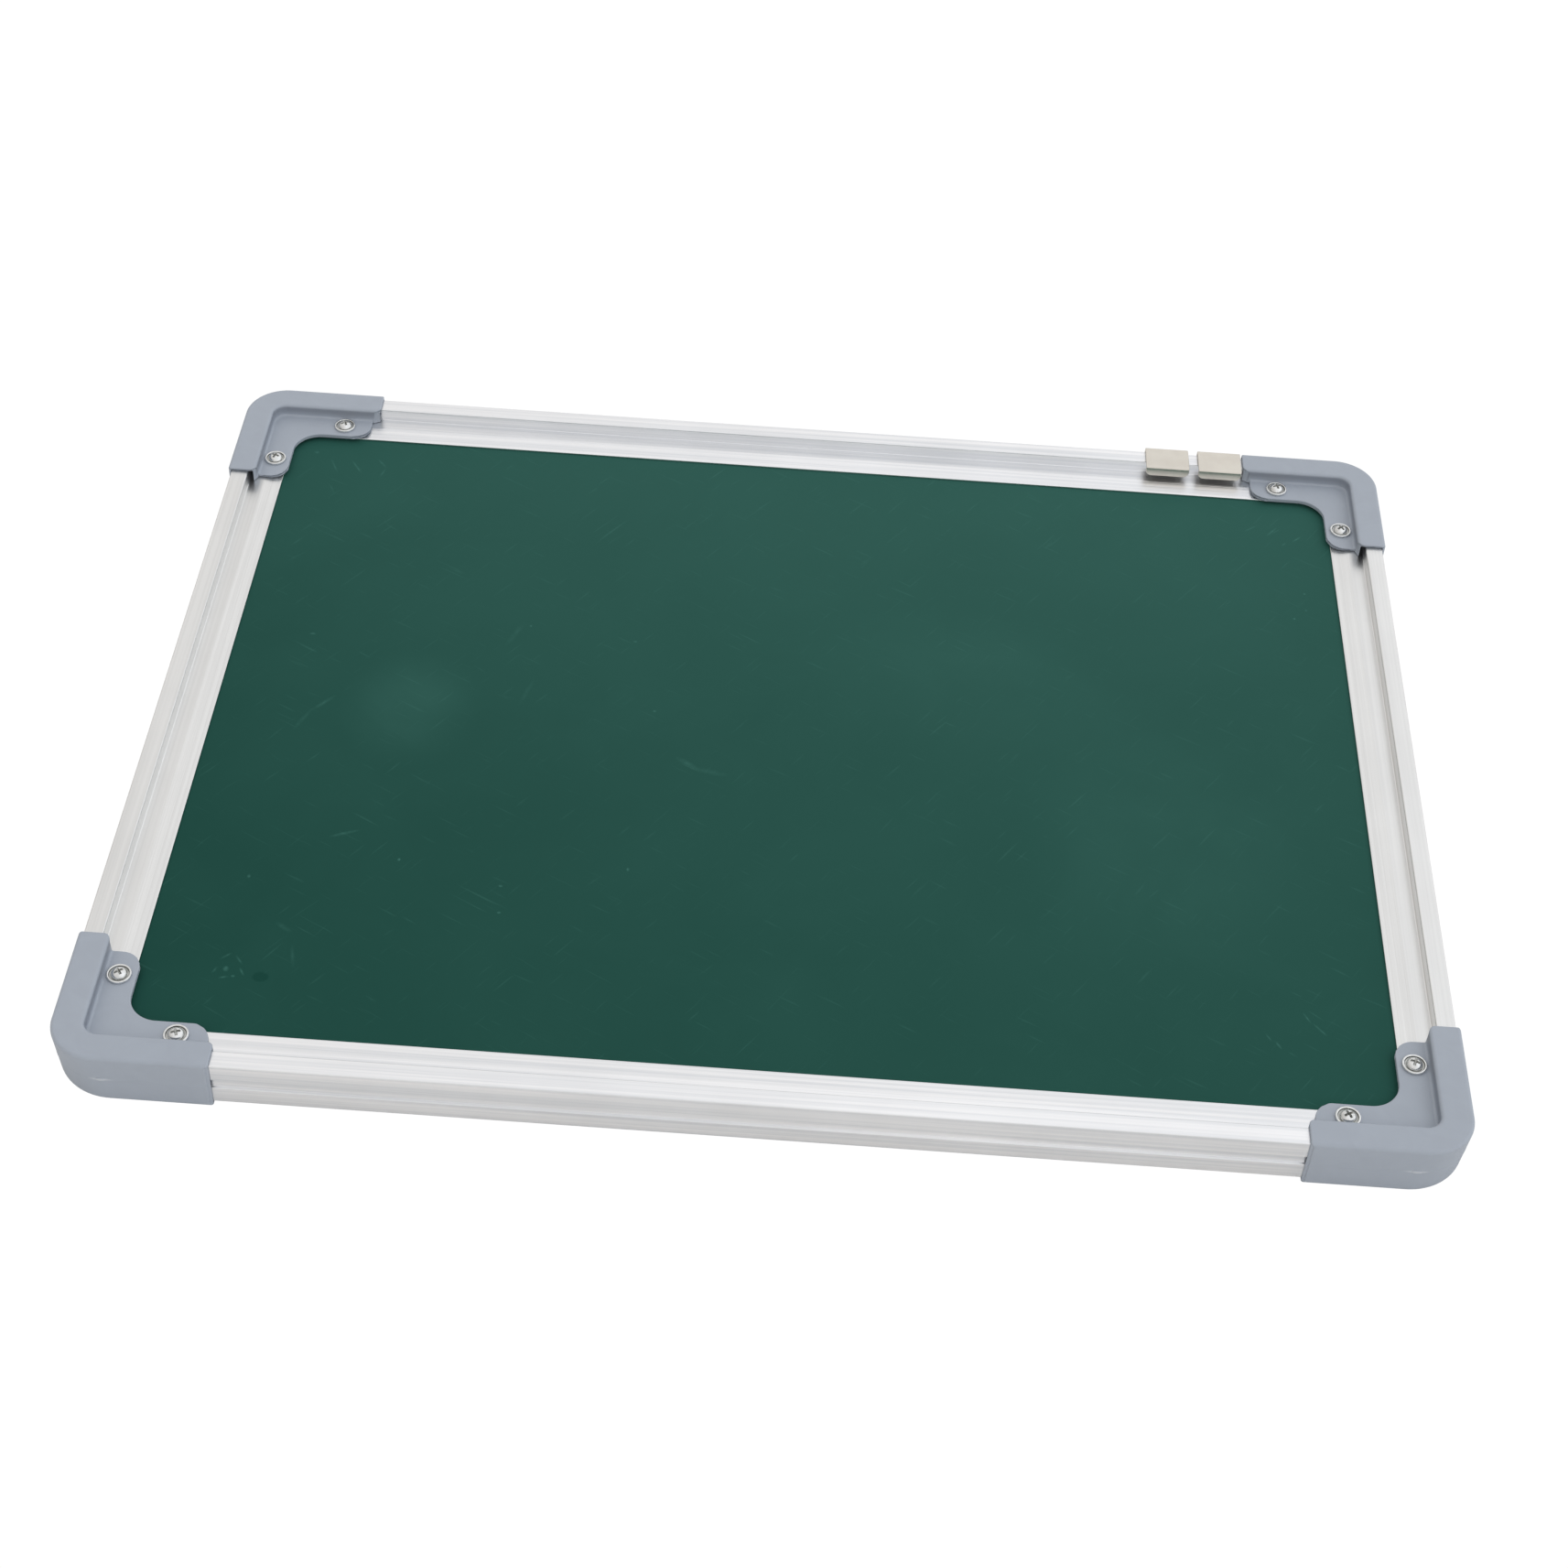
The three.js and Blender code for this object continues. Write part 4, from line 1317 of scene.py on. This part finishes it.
    def flange_end(self, u: float) -> float:
        """Finds where the flange of a leg ends. Its inner corner is well rounded.

        Args:
            u: Place across the rail.

        Returns:
            Place along the rail.
        """
        radius = self.flange_end_radius
        past = min(max(u - self.flange_edge + radius, 0.0), radius)
        return self.leg - self.flange_setback - radius + math.sqrt(radius**2 - past**2)

    def lines(
        self, section: Sequence[Vector], end: Callable[[float], float], eases: Sequence[float]
    ) -> list[SweptLine]:
        """Turns a closed section into the lines that are swept.

        Args:
            section: The section's points, in order.
            end: Where a line ends along the rail, by its place across the rail.
            eases: How far each line's end is rounded over.

        Returns:
            One line for each point.
        """
        made = []
        for number, point in enumerate(section):
            run = (section[(number + 1) % len(section)] - section[number - 1]).normalized()
            radius = self.corner_radius(point.x, point.y)
            outward = Vector((run.y, -run.x))
            made.append(SweptLine(point, outward, eases[number], radius, end(point.x)))
        return made

    def sweep(self, name: str, lines: Sequence[SweptLine]) -> Piece:
        """Sweeps a closed section round the corner and closes its rounded ends.

        Args:
            name: The object's name.
            lines: The section's lines.

        Returns:
            The swept solid.
        """

        def ring(
            place: Callable[[float, SweptLine, float], Pair], lean: float = 0.0
        ) -> list[Vector]:
            """Places one ring of the sweep.

            Args:
                place: Gives X and Y of a line from its place across the rail, itself and its end.
                lean: Angle of the end's rounding: a quarter turn at the end, none on the leg.

            Returns:
                The ring's points.
            """
            made = []
            for line in lines:
                u, v = line.point - line.outward * (line.ease * (1 - math.cos(lean)))
                x, y = place(u, line, line.end - line.ease * (1 - math.sin(lean)))
                made.append(Vector((x, y, v + self.board.middle)))
            return made

        leg = [
            ring(lambda u, line, end: (end, u), QUARTER * part / self.end_parts)
            for part in range(self.end_parts, -1, -1)
        ] + [
            ring(lambda u, line, end: (end + (u + line.radius - end) * share, u))
            for share in self.leg_shares
        ]
        arc = []
        for part in range(self.arc_parts + 1):
            turn = 3 * QUARTER - QUARTER * part / self.arc_parts
            cos, sin = math.cos(turn), math.sin(turn)
            arc.append(ring(lambda u, line, end: (
                u + line.radius + line.radius * cos, u + line.radius + line.radius * sin
            )))
        other_leg = [[Vector((point.y, point.x, point.z)) for point in made] for made in leg[::-1]]
        bm = bmesh.new()
        grid = loft(bm, [*leg, *arc, *other_leg])
        for loop, across in ((grid[0], 1), (grid[-1], 0)):
            cap(bm, [loop], [[Vector((v.co[across], v.co[2])) for v in loop]])
        return to_object(name, bm)

    def gate(self, on_second_leg: bool) -> Piece:
        """The flattened nub that is left where the moulding was cut from its sprue.

        Args:
            on_second_leg: Whether it stands on the wall of the second leg.

        Returns:
            The nub.
        """
        long, out, high = self.gate_size
        rings = []
        for part in range(1, self.gate_rings):
            polar = math.pi * part / self.gate_rings
            ring = []
            for side in range(self.gate_sides):
                around = 2 * math.pi * side / self.gate_sides
                along = self.gate_along + long * math.cos(polar)
                across = -self.outset + out * math.sin(polar) * math.cos(around)
                rise = self.board.middle + high * math.sin(polar) * math.sin(around)
                x, y = (across, along) if on_second_leg else (along, across)
                ring.append(Vector((x, y, rise)))
            rings.append(ring)
        return solid("gate_nub", rings)

    def make(self, name: str, placement: Matrix, gate_on_second_leg: bool) -> Piece:
        """Builds one moulding with its gate and its screw holes.

        Args:
            name: The object's name.
            placement: Placement of the corner's own frame.
            gate_on_second_leg: Whether the gate is on the wall of the second leg.

        Returns:
            The moulding.
        """
        outside, inside = self.band_outside(), self.band_inside()
        eases = [self.outside_ease] * len(outside) + [self.inside_ease] * len(inside)
        moulding = self.sweep(name, self.lines([*outside, *inside], self.band_end, eases))
        for side in (1, -1):
            section = self.flange_section(side)
            if side < 0:
                section.reverse()
            lines = self.lines(section, self.flange_end, [self.flange_ease] * len(section))
            carve(moulding, self.sweep("flange", lines), "UNION")
        carve(moulding, self.gate(gate_on_second_leg), "UNION")
        along, inset = self.board.screw_along, self.board.screw_inset
        over = self.drill_over
        feet = [Vector((along, inset, -over)), Vector((inset, along, -over))]
        drill(moulding, feet, self.board.screw_hole, self.board.thickness + 2 * over)
        moulding.data.transform(placement)
        return moulding

    def build(self) -> None:
        """Builds and installs the four mouldings."""
        for place in CornerPlace:
            ending, _, _, turns = place.value
            moulding = self.make(f"corner_moulding_{ending}", self.board.at(place), turns % 2 == 1)
            shade(moulding, CORNER_FINISH)
            install(moulding, f"corner_{ending}", Body.FRAME)


@dataclass
class CornerScrews:
    """Cross-recess screws with a rimmed washer head, two to a corner on each face."""

    board: BoardSizes
    seat: float = 12.2
    shank_radius: float = 1.45
    tip: float = 1.2
    tip_gap: float = 0.8
    washer_radius: float = 3.65
    washer_thickness: float = 0.45
    rim_height: float = 0.35
    rim_width: float = 0.6
    rim_rounds: Pair = (0.22, 0.2)
    rim_draft: float = 0.12
    tip_round: float = 0.3
    foot_round: float = 0.1
    groove_rounds: Pair = (0.15, 0.1)
    dome_undercut: float = 0.1
    dome_foot: float = 0.15
    dome_radius: float = 2.4
    dome_height: float = 1.5
    recess_length: float = 3.2
    recess_foot: float = 1.5
    recess_width: float = 0.8
    recess_depth: float = 1.3
    groove_depth: float = 0.25
    groove_top: float = 0.6
    dome_power: float = 0.85
    dome_rings: int = 8
    punch_over: float = 1.0
    punch_flare: Pair = (0.6, 0.2)
    punch_taper: float = 0.6
    shadow_depth: float = 0.12
    shadow_over: float = 0.15
    edge_break: float = 0.07
    break_over: float = math.radians(45)
    sides: int = 48
    turns: tuple[float, ...] = (20.0, 62.0, 38.0, 5.0, 71.0, 48.0, 29.0, 80.0)

    def profile(self) -> list[Vector]:
        """Draws half of the screw's section.

        Returns:
            Radii and heights, from the tip to the top of the dome.
        """
        shank = self.seat - self.board.middle - self.tip_gap / 2
        rim_top = self.washer_thickness + self.rim_height
        outer, inner = self.washer_radius, self.washer_radius - self.rim_width
        groove = self.washer_thickness - self.groove_depth
        corners: list[Triple] = [
            (0.0, -shank, 0.0),
            (self.shank_radius, self.tip - shank, self.tip_round),
            (self.shank_radius, 0.0, 0.0),
            (outer, 0.0, self.foot_round),
            (outer, rim_top, self.rim_rounds[0]),
            (inner, rim_top, self.rim_rounds[1]),
            (inner - self.rim_draft, groove, self.groove_rounds[0]),
            (self.dome_radius - self.dome_undercut, groove, self.groove_rounds[1]),
        ]
        path = fillet_path(corners, closed=False, step=QUARTER / 3)
        dome = []
        for part in range(2, self.dome_rings + 1):
            angle = QUARTER * part / self.dome_rings
            pole = part == self.dome_rings
            radius = 0.0 if pole else self.dome_radius * math.cos(angle) ** self.dome_power
            rise = self.dome_height * math.sin(angle)
            dome.append(Vector((radius, self.washer_thickness + rise)))
        dome_foot = Vector((self.dome_radius, self.washer_thickness + self.dome_foot))
        return [*path, dome_foot, *dome]

    def turned(self) -> Piece:
        """Builds the screw as turned, before its recess is pressed.

        Returns:
            The blank.
        """
        bm = bmesh.new()
        profile = self.profile()
        angles = [2 * math.pi * side / self.sides for side in range(self.sides)]
        rings = [
            [Vector((point.x * math.cos(a), point.x * math.sin(a), point.y)) for a in angles]
            for point in profile[1:-1]
        ]
        grid = loft(bm, rings)
        for point, loop in ((profile[0], grid[0]), (profile[-1], grid[-1])):
            pole = bm.verts.new((0.0, 0.0, point.y))
            for place in range(self.sides):
                bm.faces.new((loop[place], loop[(place + 1) % self.sides], pole))
        return to_object("screw_blank", bm)

    def punch(self) -> Piece:
        """Builds the cross-shaped punch that presses the recess.

        Returns:
            The punch.
        """
        top = self.washer_thickness + self.dome_height
        longer, wider = self.punch_flare
        levels = (
            (top - self.recess_depth, self.recess_foot, self.recess_width * self.punch_taper),
            (top, self.recess_length, self.recess_width),
            (top + self.punch_over, self.recess_length + longer, self.recess_width + wider),
        )
        wings = []
        for turn in (0.0, QUARTER):
            turned = Matrix.Rotation(turn, 3, "Z")
            rings = []
            for height, length, width in levels:
                half, side = length / 2, width / 2
                box = ((-half, -side), (half, -side), (half, side), (-half, side))
                rings.append([turned @ Vector((x, y, height)) for x, y in box])
            wings.append(solid("punch_wing", rings))
        return carve(*wings, "UNION")

    def dome_level(self, radius: float) -> float:
        """Height of the dome's surface at a radius."""
        share = min(1.0, radius / self.dome_radius) ** (1 / self.dome_power)
        return self.washer_thickness + self.dome_height * math.sqrt(1 - share**2)

    def darken(self, screw: Piece) -> None:
        """Gives the recess and the groove round the dome a darker zinc finish, as painted shade.

        Args:
            screw: The screw, in millimetres and upright.
        """
        screw.data.materials.append(SHADED_RECESS_FINISH.material())
        groove_start = self.dome_radius - self.shadow_over
        groove_end = self.washer_radius - self.rim_width
        for face in screw.data.polygons:
            radius, level = face.center.xy.length, face.center.z
            in_groove = groove_start < radius < groove_end and 0 < level < self.groove_top
            sunk = self.dome_level(radius) - self.shadow_depth
            in_recess = radius < self.dome_radius and 0 < level < sunk
            face.material_index = 1 if in_groove or in_recess else 0

    def build(self) -> None:
        """Makes one screw and installs its copies, each driven to a stop of its own."""
        blank = carve(self.turned(), self.punch(), "DIFFERENCE")
        soften(blank, self.edge_break, self.break_over)
        blank.data.materials.clear()
        blank.data.materials.append(SCREW_FINISH.material())
        self.darken(blank)
        stops = cycle(self.turns)
        along, inset = self.board.screw_along, self.board.screw_inset
        flip = Matrix.Rotation(math.pi, 4, "X")
        faces = (("front", self.seat, Matrix()), ("rear", self.board.thickness - self.seat, flip))
        for place in CornerPlace:
            ending, _, _, turns = place.value
            legs = ("long_side", "short_side") if turns % 2 == 0 else ("short_side", "long_side")
            for leg, (x, y) in zip(legs, ((along, inset), (inset, along))):
                for face, level, facing in faces:
                    stand = Matrix.Translation((x, y, level)) @ facing
                    drive = Matrix.Rotation(math.radians(next(stops)), 4, "Z")
                    name = f"{face}_{ending}_{leg}"
                    screw = bpy.data.objects.new(f"washer_head_screw_{name}", blank.data.copy())
                    bpy.context.scene.collection.objects.link(screw)
                    screw.data.transform(self.board.at(place) @ stand @ drive)
                    shade(screw)
                    install(screw, f"screw_{name}", Body.FRAME)
        bpy.data.objects.remove(blank)


@dataclass
class HangingClips:
    """Two spring clips folded from plated strip, which slide along the top rail."""

    board: BoardSizes
    length: float = 15.2
    steel: float = 0.8
    bend_radius: float = 1.0
    front_gap: float = 0.5
    outer_gap: float = 0.3
    rear_gap: float = 0.2
    reach: float = 4.5
    leg: float = 3.7
    leg_round: float = 1.8
    tab_reach: float = 10.0
    tab_round: float = 3.0
    hole_radius: float = 2.25
    hole_from_end: float = 5.0
    band_width: float = 5.8
    edge_break: float = 0.12
    hole_break: float = 0.06
    break_over: float = math.radians(55)
    round_parts: int = 6
    hole_sides: int = 40
    right_centre: float = 145.8
    spacing: float = 18.6

    def fold_line(self) -> list[Vector]:
        """Draws the middle line of the folded strip.

        Returns:
            Its points, from the rear tab round the rail to the leg.
        """
        half = self.steel / 2
        outer = -self.outer_gap - half
        top = self.board.thickness + self.front_gap + half
        leg = self.band_width + self.reach - half
        tab = -self.rear_gap - half
        bend = self.bend_radius - half
        corners = [(outer, tab, bend), (outer, top, bend), (leg, top, bend)]
        start, end = (self.band_width + self.tab_reach, tab, 0.0), (leg, top + half - self.leg, 0.0)
        return fillet_path([start, *corners, end], closed=False)

    def stations(self) -> list[tuple[Vector, Vector, float]]:
        """Places along the strip: point, direction and half width there.

        Returns:
            One entry for each section of the strip, closer together where its ends are rounded.
        """
        line = self.fold_line()
        runs = [(b - a).length for a, b in zip(line, line[1:])]
        total = sum(runs)
        marks = {0.0, total}
        walked = 0.0
        for run in runs:
            walked += run
            marks.add(round(walked, 6))
        for part in range(1, self.round_parts + 1):
            drop = 1 - math.cos(QUARTER * part / self.round_parts)
            marks.add(round(self.tab_round * drop, 6))
            marks.add(round(total - self.leg_round * drop, 6))
        made = []
        for mark in sorted(m for m in marks if m <= total):
            past, number = mark, 0
            while number < len(runs) - 1 and past > runs[number] + 1e-7:
                past -= runs[number]
                number += 1
            run = (line[number + 1] - line[number]).normalized()
            point = line[number] + run * past
            at_joint = abs(past - runs[number]) < WELD and number < len(runs) - 1
            onward = (line[number + 2] - line[number + 1]).normalized() if at_joint else run
            width = self.length / 2
            for reach, radius in ((mark, self.tab_round), (total - mark, self.leg_round)):
                if reach < radius:
                    drop = radius - math.sqrt(radius**2 - (radius - reach) ** 2)
                    width = min(width, self.length / 2 - drop)
            made.append((point, (run + onward).normalized(), width))
        return made

    def make(self, name: str, placement: Matrix) -> Piece:
        """Builds one clip with its nail hole.

        Args:
            name: The object's name.
            placement: Placement of the clip's own frame.

        Returns:
            The clip.
        """
        rings = []
        half = self.steel / 2
        b = self.edge_break
        for point, run, width in self.stations():
            side = Vector((-run.y, run.x))
            loop = [(-width + b, -half), (width - b, -half), (width, -half + b), (width, half - b)]
            loop += [(width - b, half), (-width + b, half), (-width, half - b), (-width, -half + b)]
            rings.append([Vector((x, point.x + side.x * t, point.y + side.y * t)) for x, t in loop])
        clip = solid(name, rings)
        tab_end = self.band_width + self.tab_reach
        foot = Vector((0.0, tab_end - self.hole_from_end, -self.rear_gap - 2 * self.steel))
        drill(clip, [foot], self.hole_radius, 3 * self.steel, self.hole_sides)
        soften(clip, self.hole_break, self.break_over)
        clip.data.transform(placement)
        return clip

    def build(self) -> None:
        """Builds and installs the two clips where they are parked."""
        for body, ending, x in (
            (Body.CLIP_LEFT, "left", self.right_centre - self.spacing),
            (Body.CLIP_RIGHT, "right", self.right_centre),
        ):
            placement = self.board.placed(x, self.board.height / 2, 2)
            clip = self.make(f"folded_hanging_clip_{ending}", placement)
            shade(clip, CLIP_FINISH)
            install(clip, f"hanging_clip_{ending}", body)


@dataclass(frozen=True)
class WritingPanel:
    """The three bonded layers of the panel, which keep their CAD solids."""

    writing_sheet: Finish = WRITING_FINISH
    core_board: Finish = CORE_FINISH
    rear_sheet: Finish = REAR_FINISH

    def build(self) -> None:
        """Gives each layer its finish."""
        for node, finish in vars(self).items():
            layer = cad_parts[node]
            layer.data.materials.clear()
            layer.data.materials.append(finish.material())
            LOG.info("%s: carried over from the CAD model in %s", node, finish.name)


@dataclass
class Studio:
    """Glowing pale table, a soft white tent round it, and the camera."""

    floor_size: float = 8.0
    floor_colour: str = "f0efed"
    floor_glow: float = 1.02
    bright_side: Triple = (0.88, 0.04, 0.45)
    tent_range: Pair = (0.54, 1.14)
    warm_side: str = "fffaf4"
    cool_side: str = "fafcff"
    camera_place: Triple = (0.008692, -0.641042, 0.620824)
    camera_turn: Triple = (45.4097, -2.4169, 3.1862)
    lens: float = 63.471
    sensor: float = 36.0
    clip: Pair = (0.01, 50.0)

    def floor(self) -> None:
        """A white table that lights the board softly and is itself burnt out to plain white."""
        bm = bmesh.new()
        half = self.floor_size / 2
        corners = [(-half, -half), (half, -half), (half, half), (-half, half)]
        bm.faces.new([bm.verts.new((x, y, 0.0)) for x, y in corners])
        floor = to_object("studio_floor", bm)
        material = bpy.data.materials.new("burnt_out_white_table")
        add = partial(add_node, clear_tree(material))
        matt = add(Kind.DIFFUSE, {"Color": linear(self.floor_colour), "Roughness": 0.5})
        glow = add(Kind.EMISSION, {"Strength": self.floor_glow})
        seen = add(Kind.LIGHT_PATH).outputs["Is Camera Ray"]
        add(Kind.OUTPUT, {"Surface": add(Kind.MIX_SHADER, {0: seen, 1: matt, 2: glow})})
        floor.data.materials.append(material)

    def tent(self) -> None:
        """A white tent, a little brighter and cooler towards its bright side."""
        world = bpy.data.worlds.new("studio_tent")
        bpy.context.scene.world = world
        add = partial(add_node, clear_tree(world))
        bright = Vector(self.bright_side).normalized()[:]
        direction = add(Kind.COORDINATES).outputs["Generated"]
        facing = add(Kind.VECTOR, {"operation": "DOT_PRODUCT", 1: bright, 0: direction})
        share = add(Kind.RANGE, {"From Min": -1.0, "From Max": 1.0, "Value": facing})
        strength = add(Kind.RANGE, {
            "To Min": self.tent_range[0], "To Max": self.tent_range[1], "Value": share,
        })
        tint = add(Kind.MIX, {
            "data_type": "RGBA", MIX_A: linear(self.warm_side), MIX_B: linear(self.cool_side),
            0: share,
        })
        glow = add(Kind.BACKGROUND, {"Color": tint, "Strength": strength})
        add(Kind.WORLD_OUTPUT, {"Surface": glow})

    def camera(self) -> None:
        """The camera, solved from the rail edges of the photograph."""
        camera = bpy.data.cameras.new("studio_camera")
        camera.lens = self.lens
        camera.sensor_width = self.sensor
        camera.clip_start, camera.clip_end = self.clip
        holder = bpy.data.objects.new("studio_camera", camera)
        bpy.context.scene.collection.objects.link(holder)
        holder.location = self.camera_place
        holder.rotation_euler = [math.radians(turn) for turn in self.camera_turn]
        bpy.context.scene.camera = holder

    def build(self) -> None:
        """Sets up the camera, the table, the tent and a plain colour transform."""
        self.camera()
        self.floor()
        self.tent()
        bpy.context.scene.view_settings.view_transform = "Standard"


def main() -> None:
    """Builds the studio and the sub-assemblies in order."""
    logging.basicConfig(level=logging.INFO, format="%(name)s: %(message)s")
    board = BoardSizes()
    Studio().build()
    ChannelRails(board).build()
    CornerMouldings(board).build()
    CornerScrews(board).build()
    HangingClips(board).build()
    WritingPanel().build()


if __name__ == "__main__":
    main()
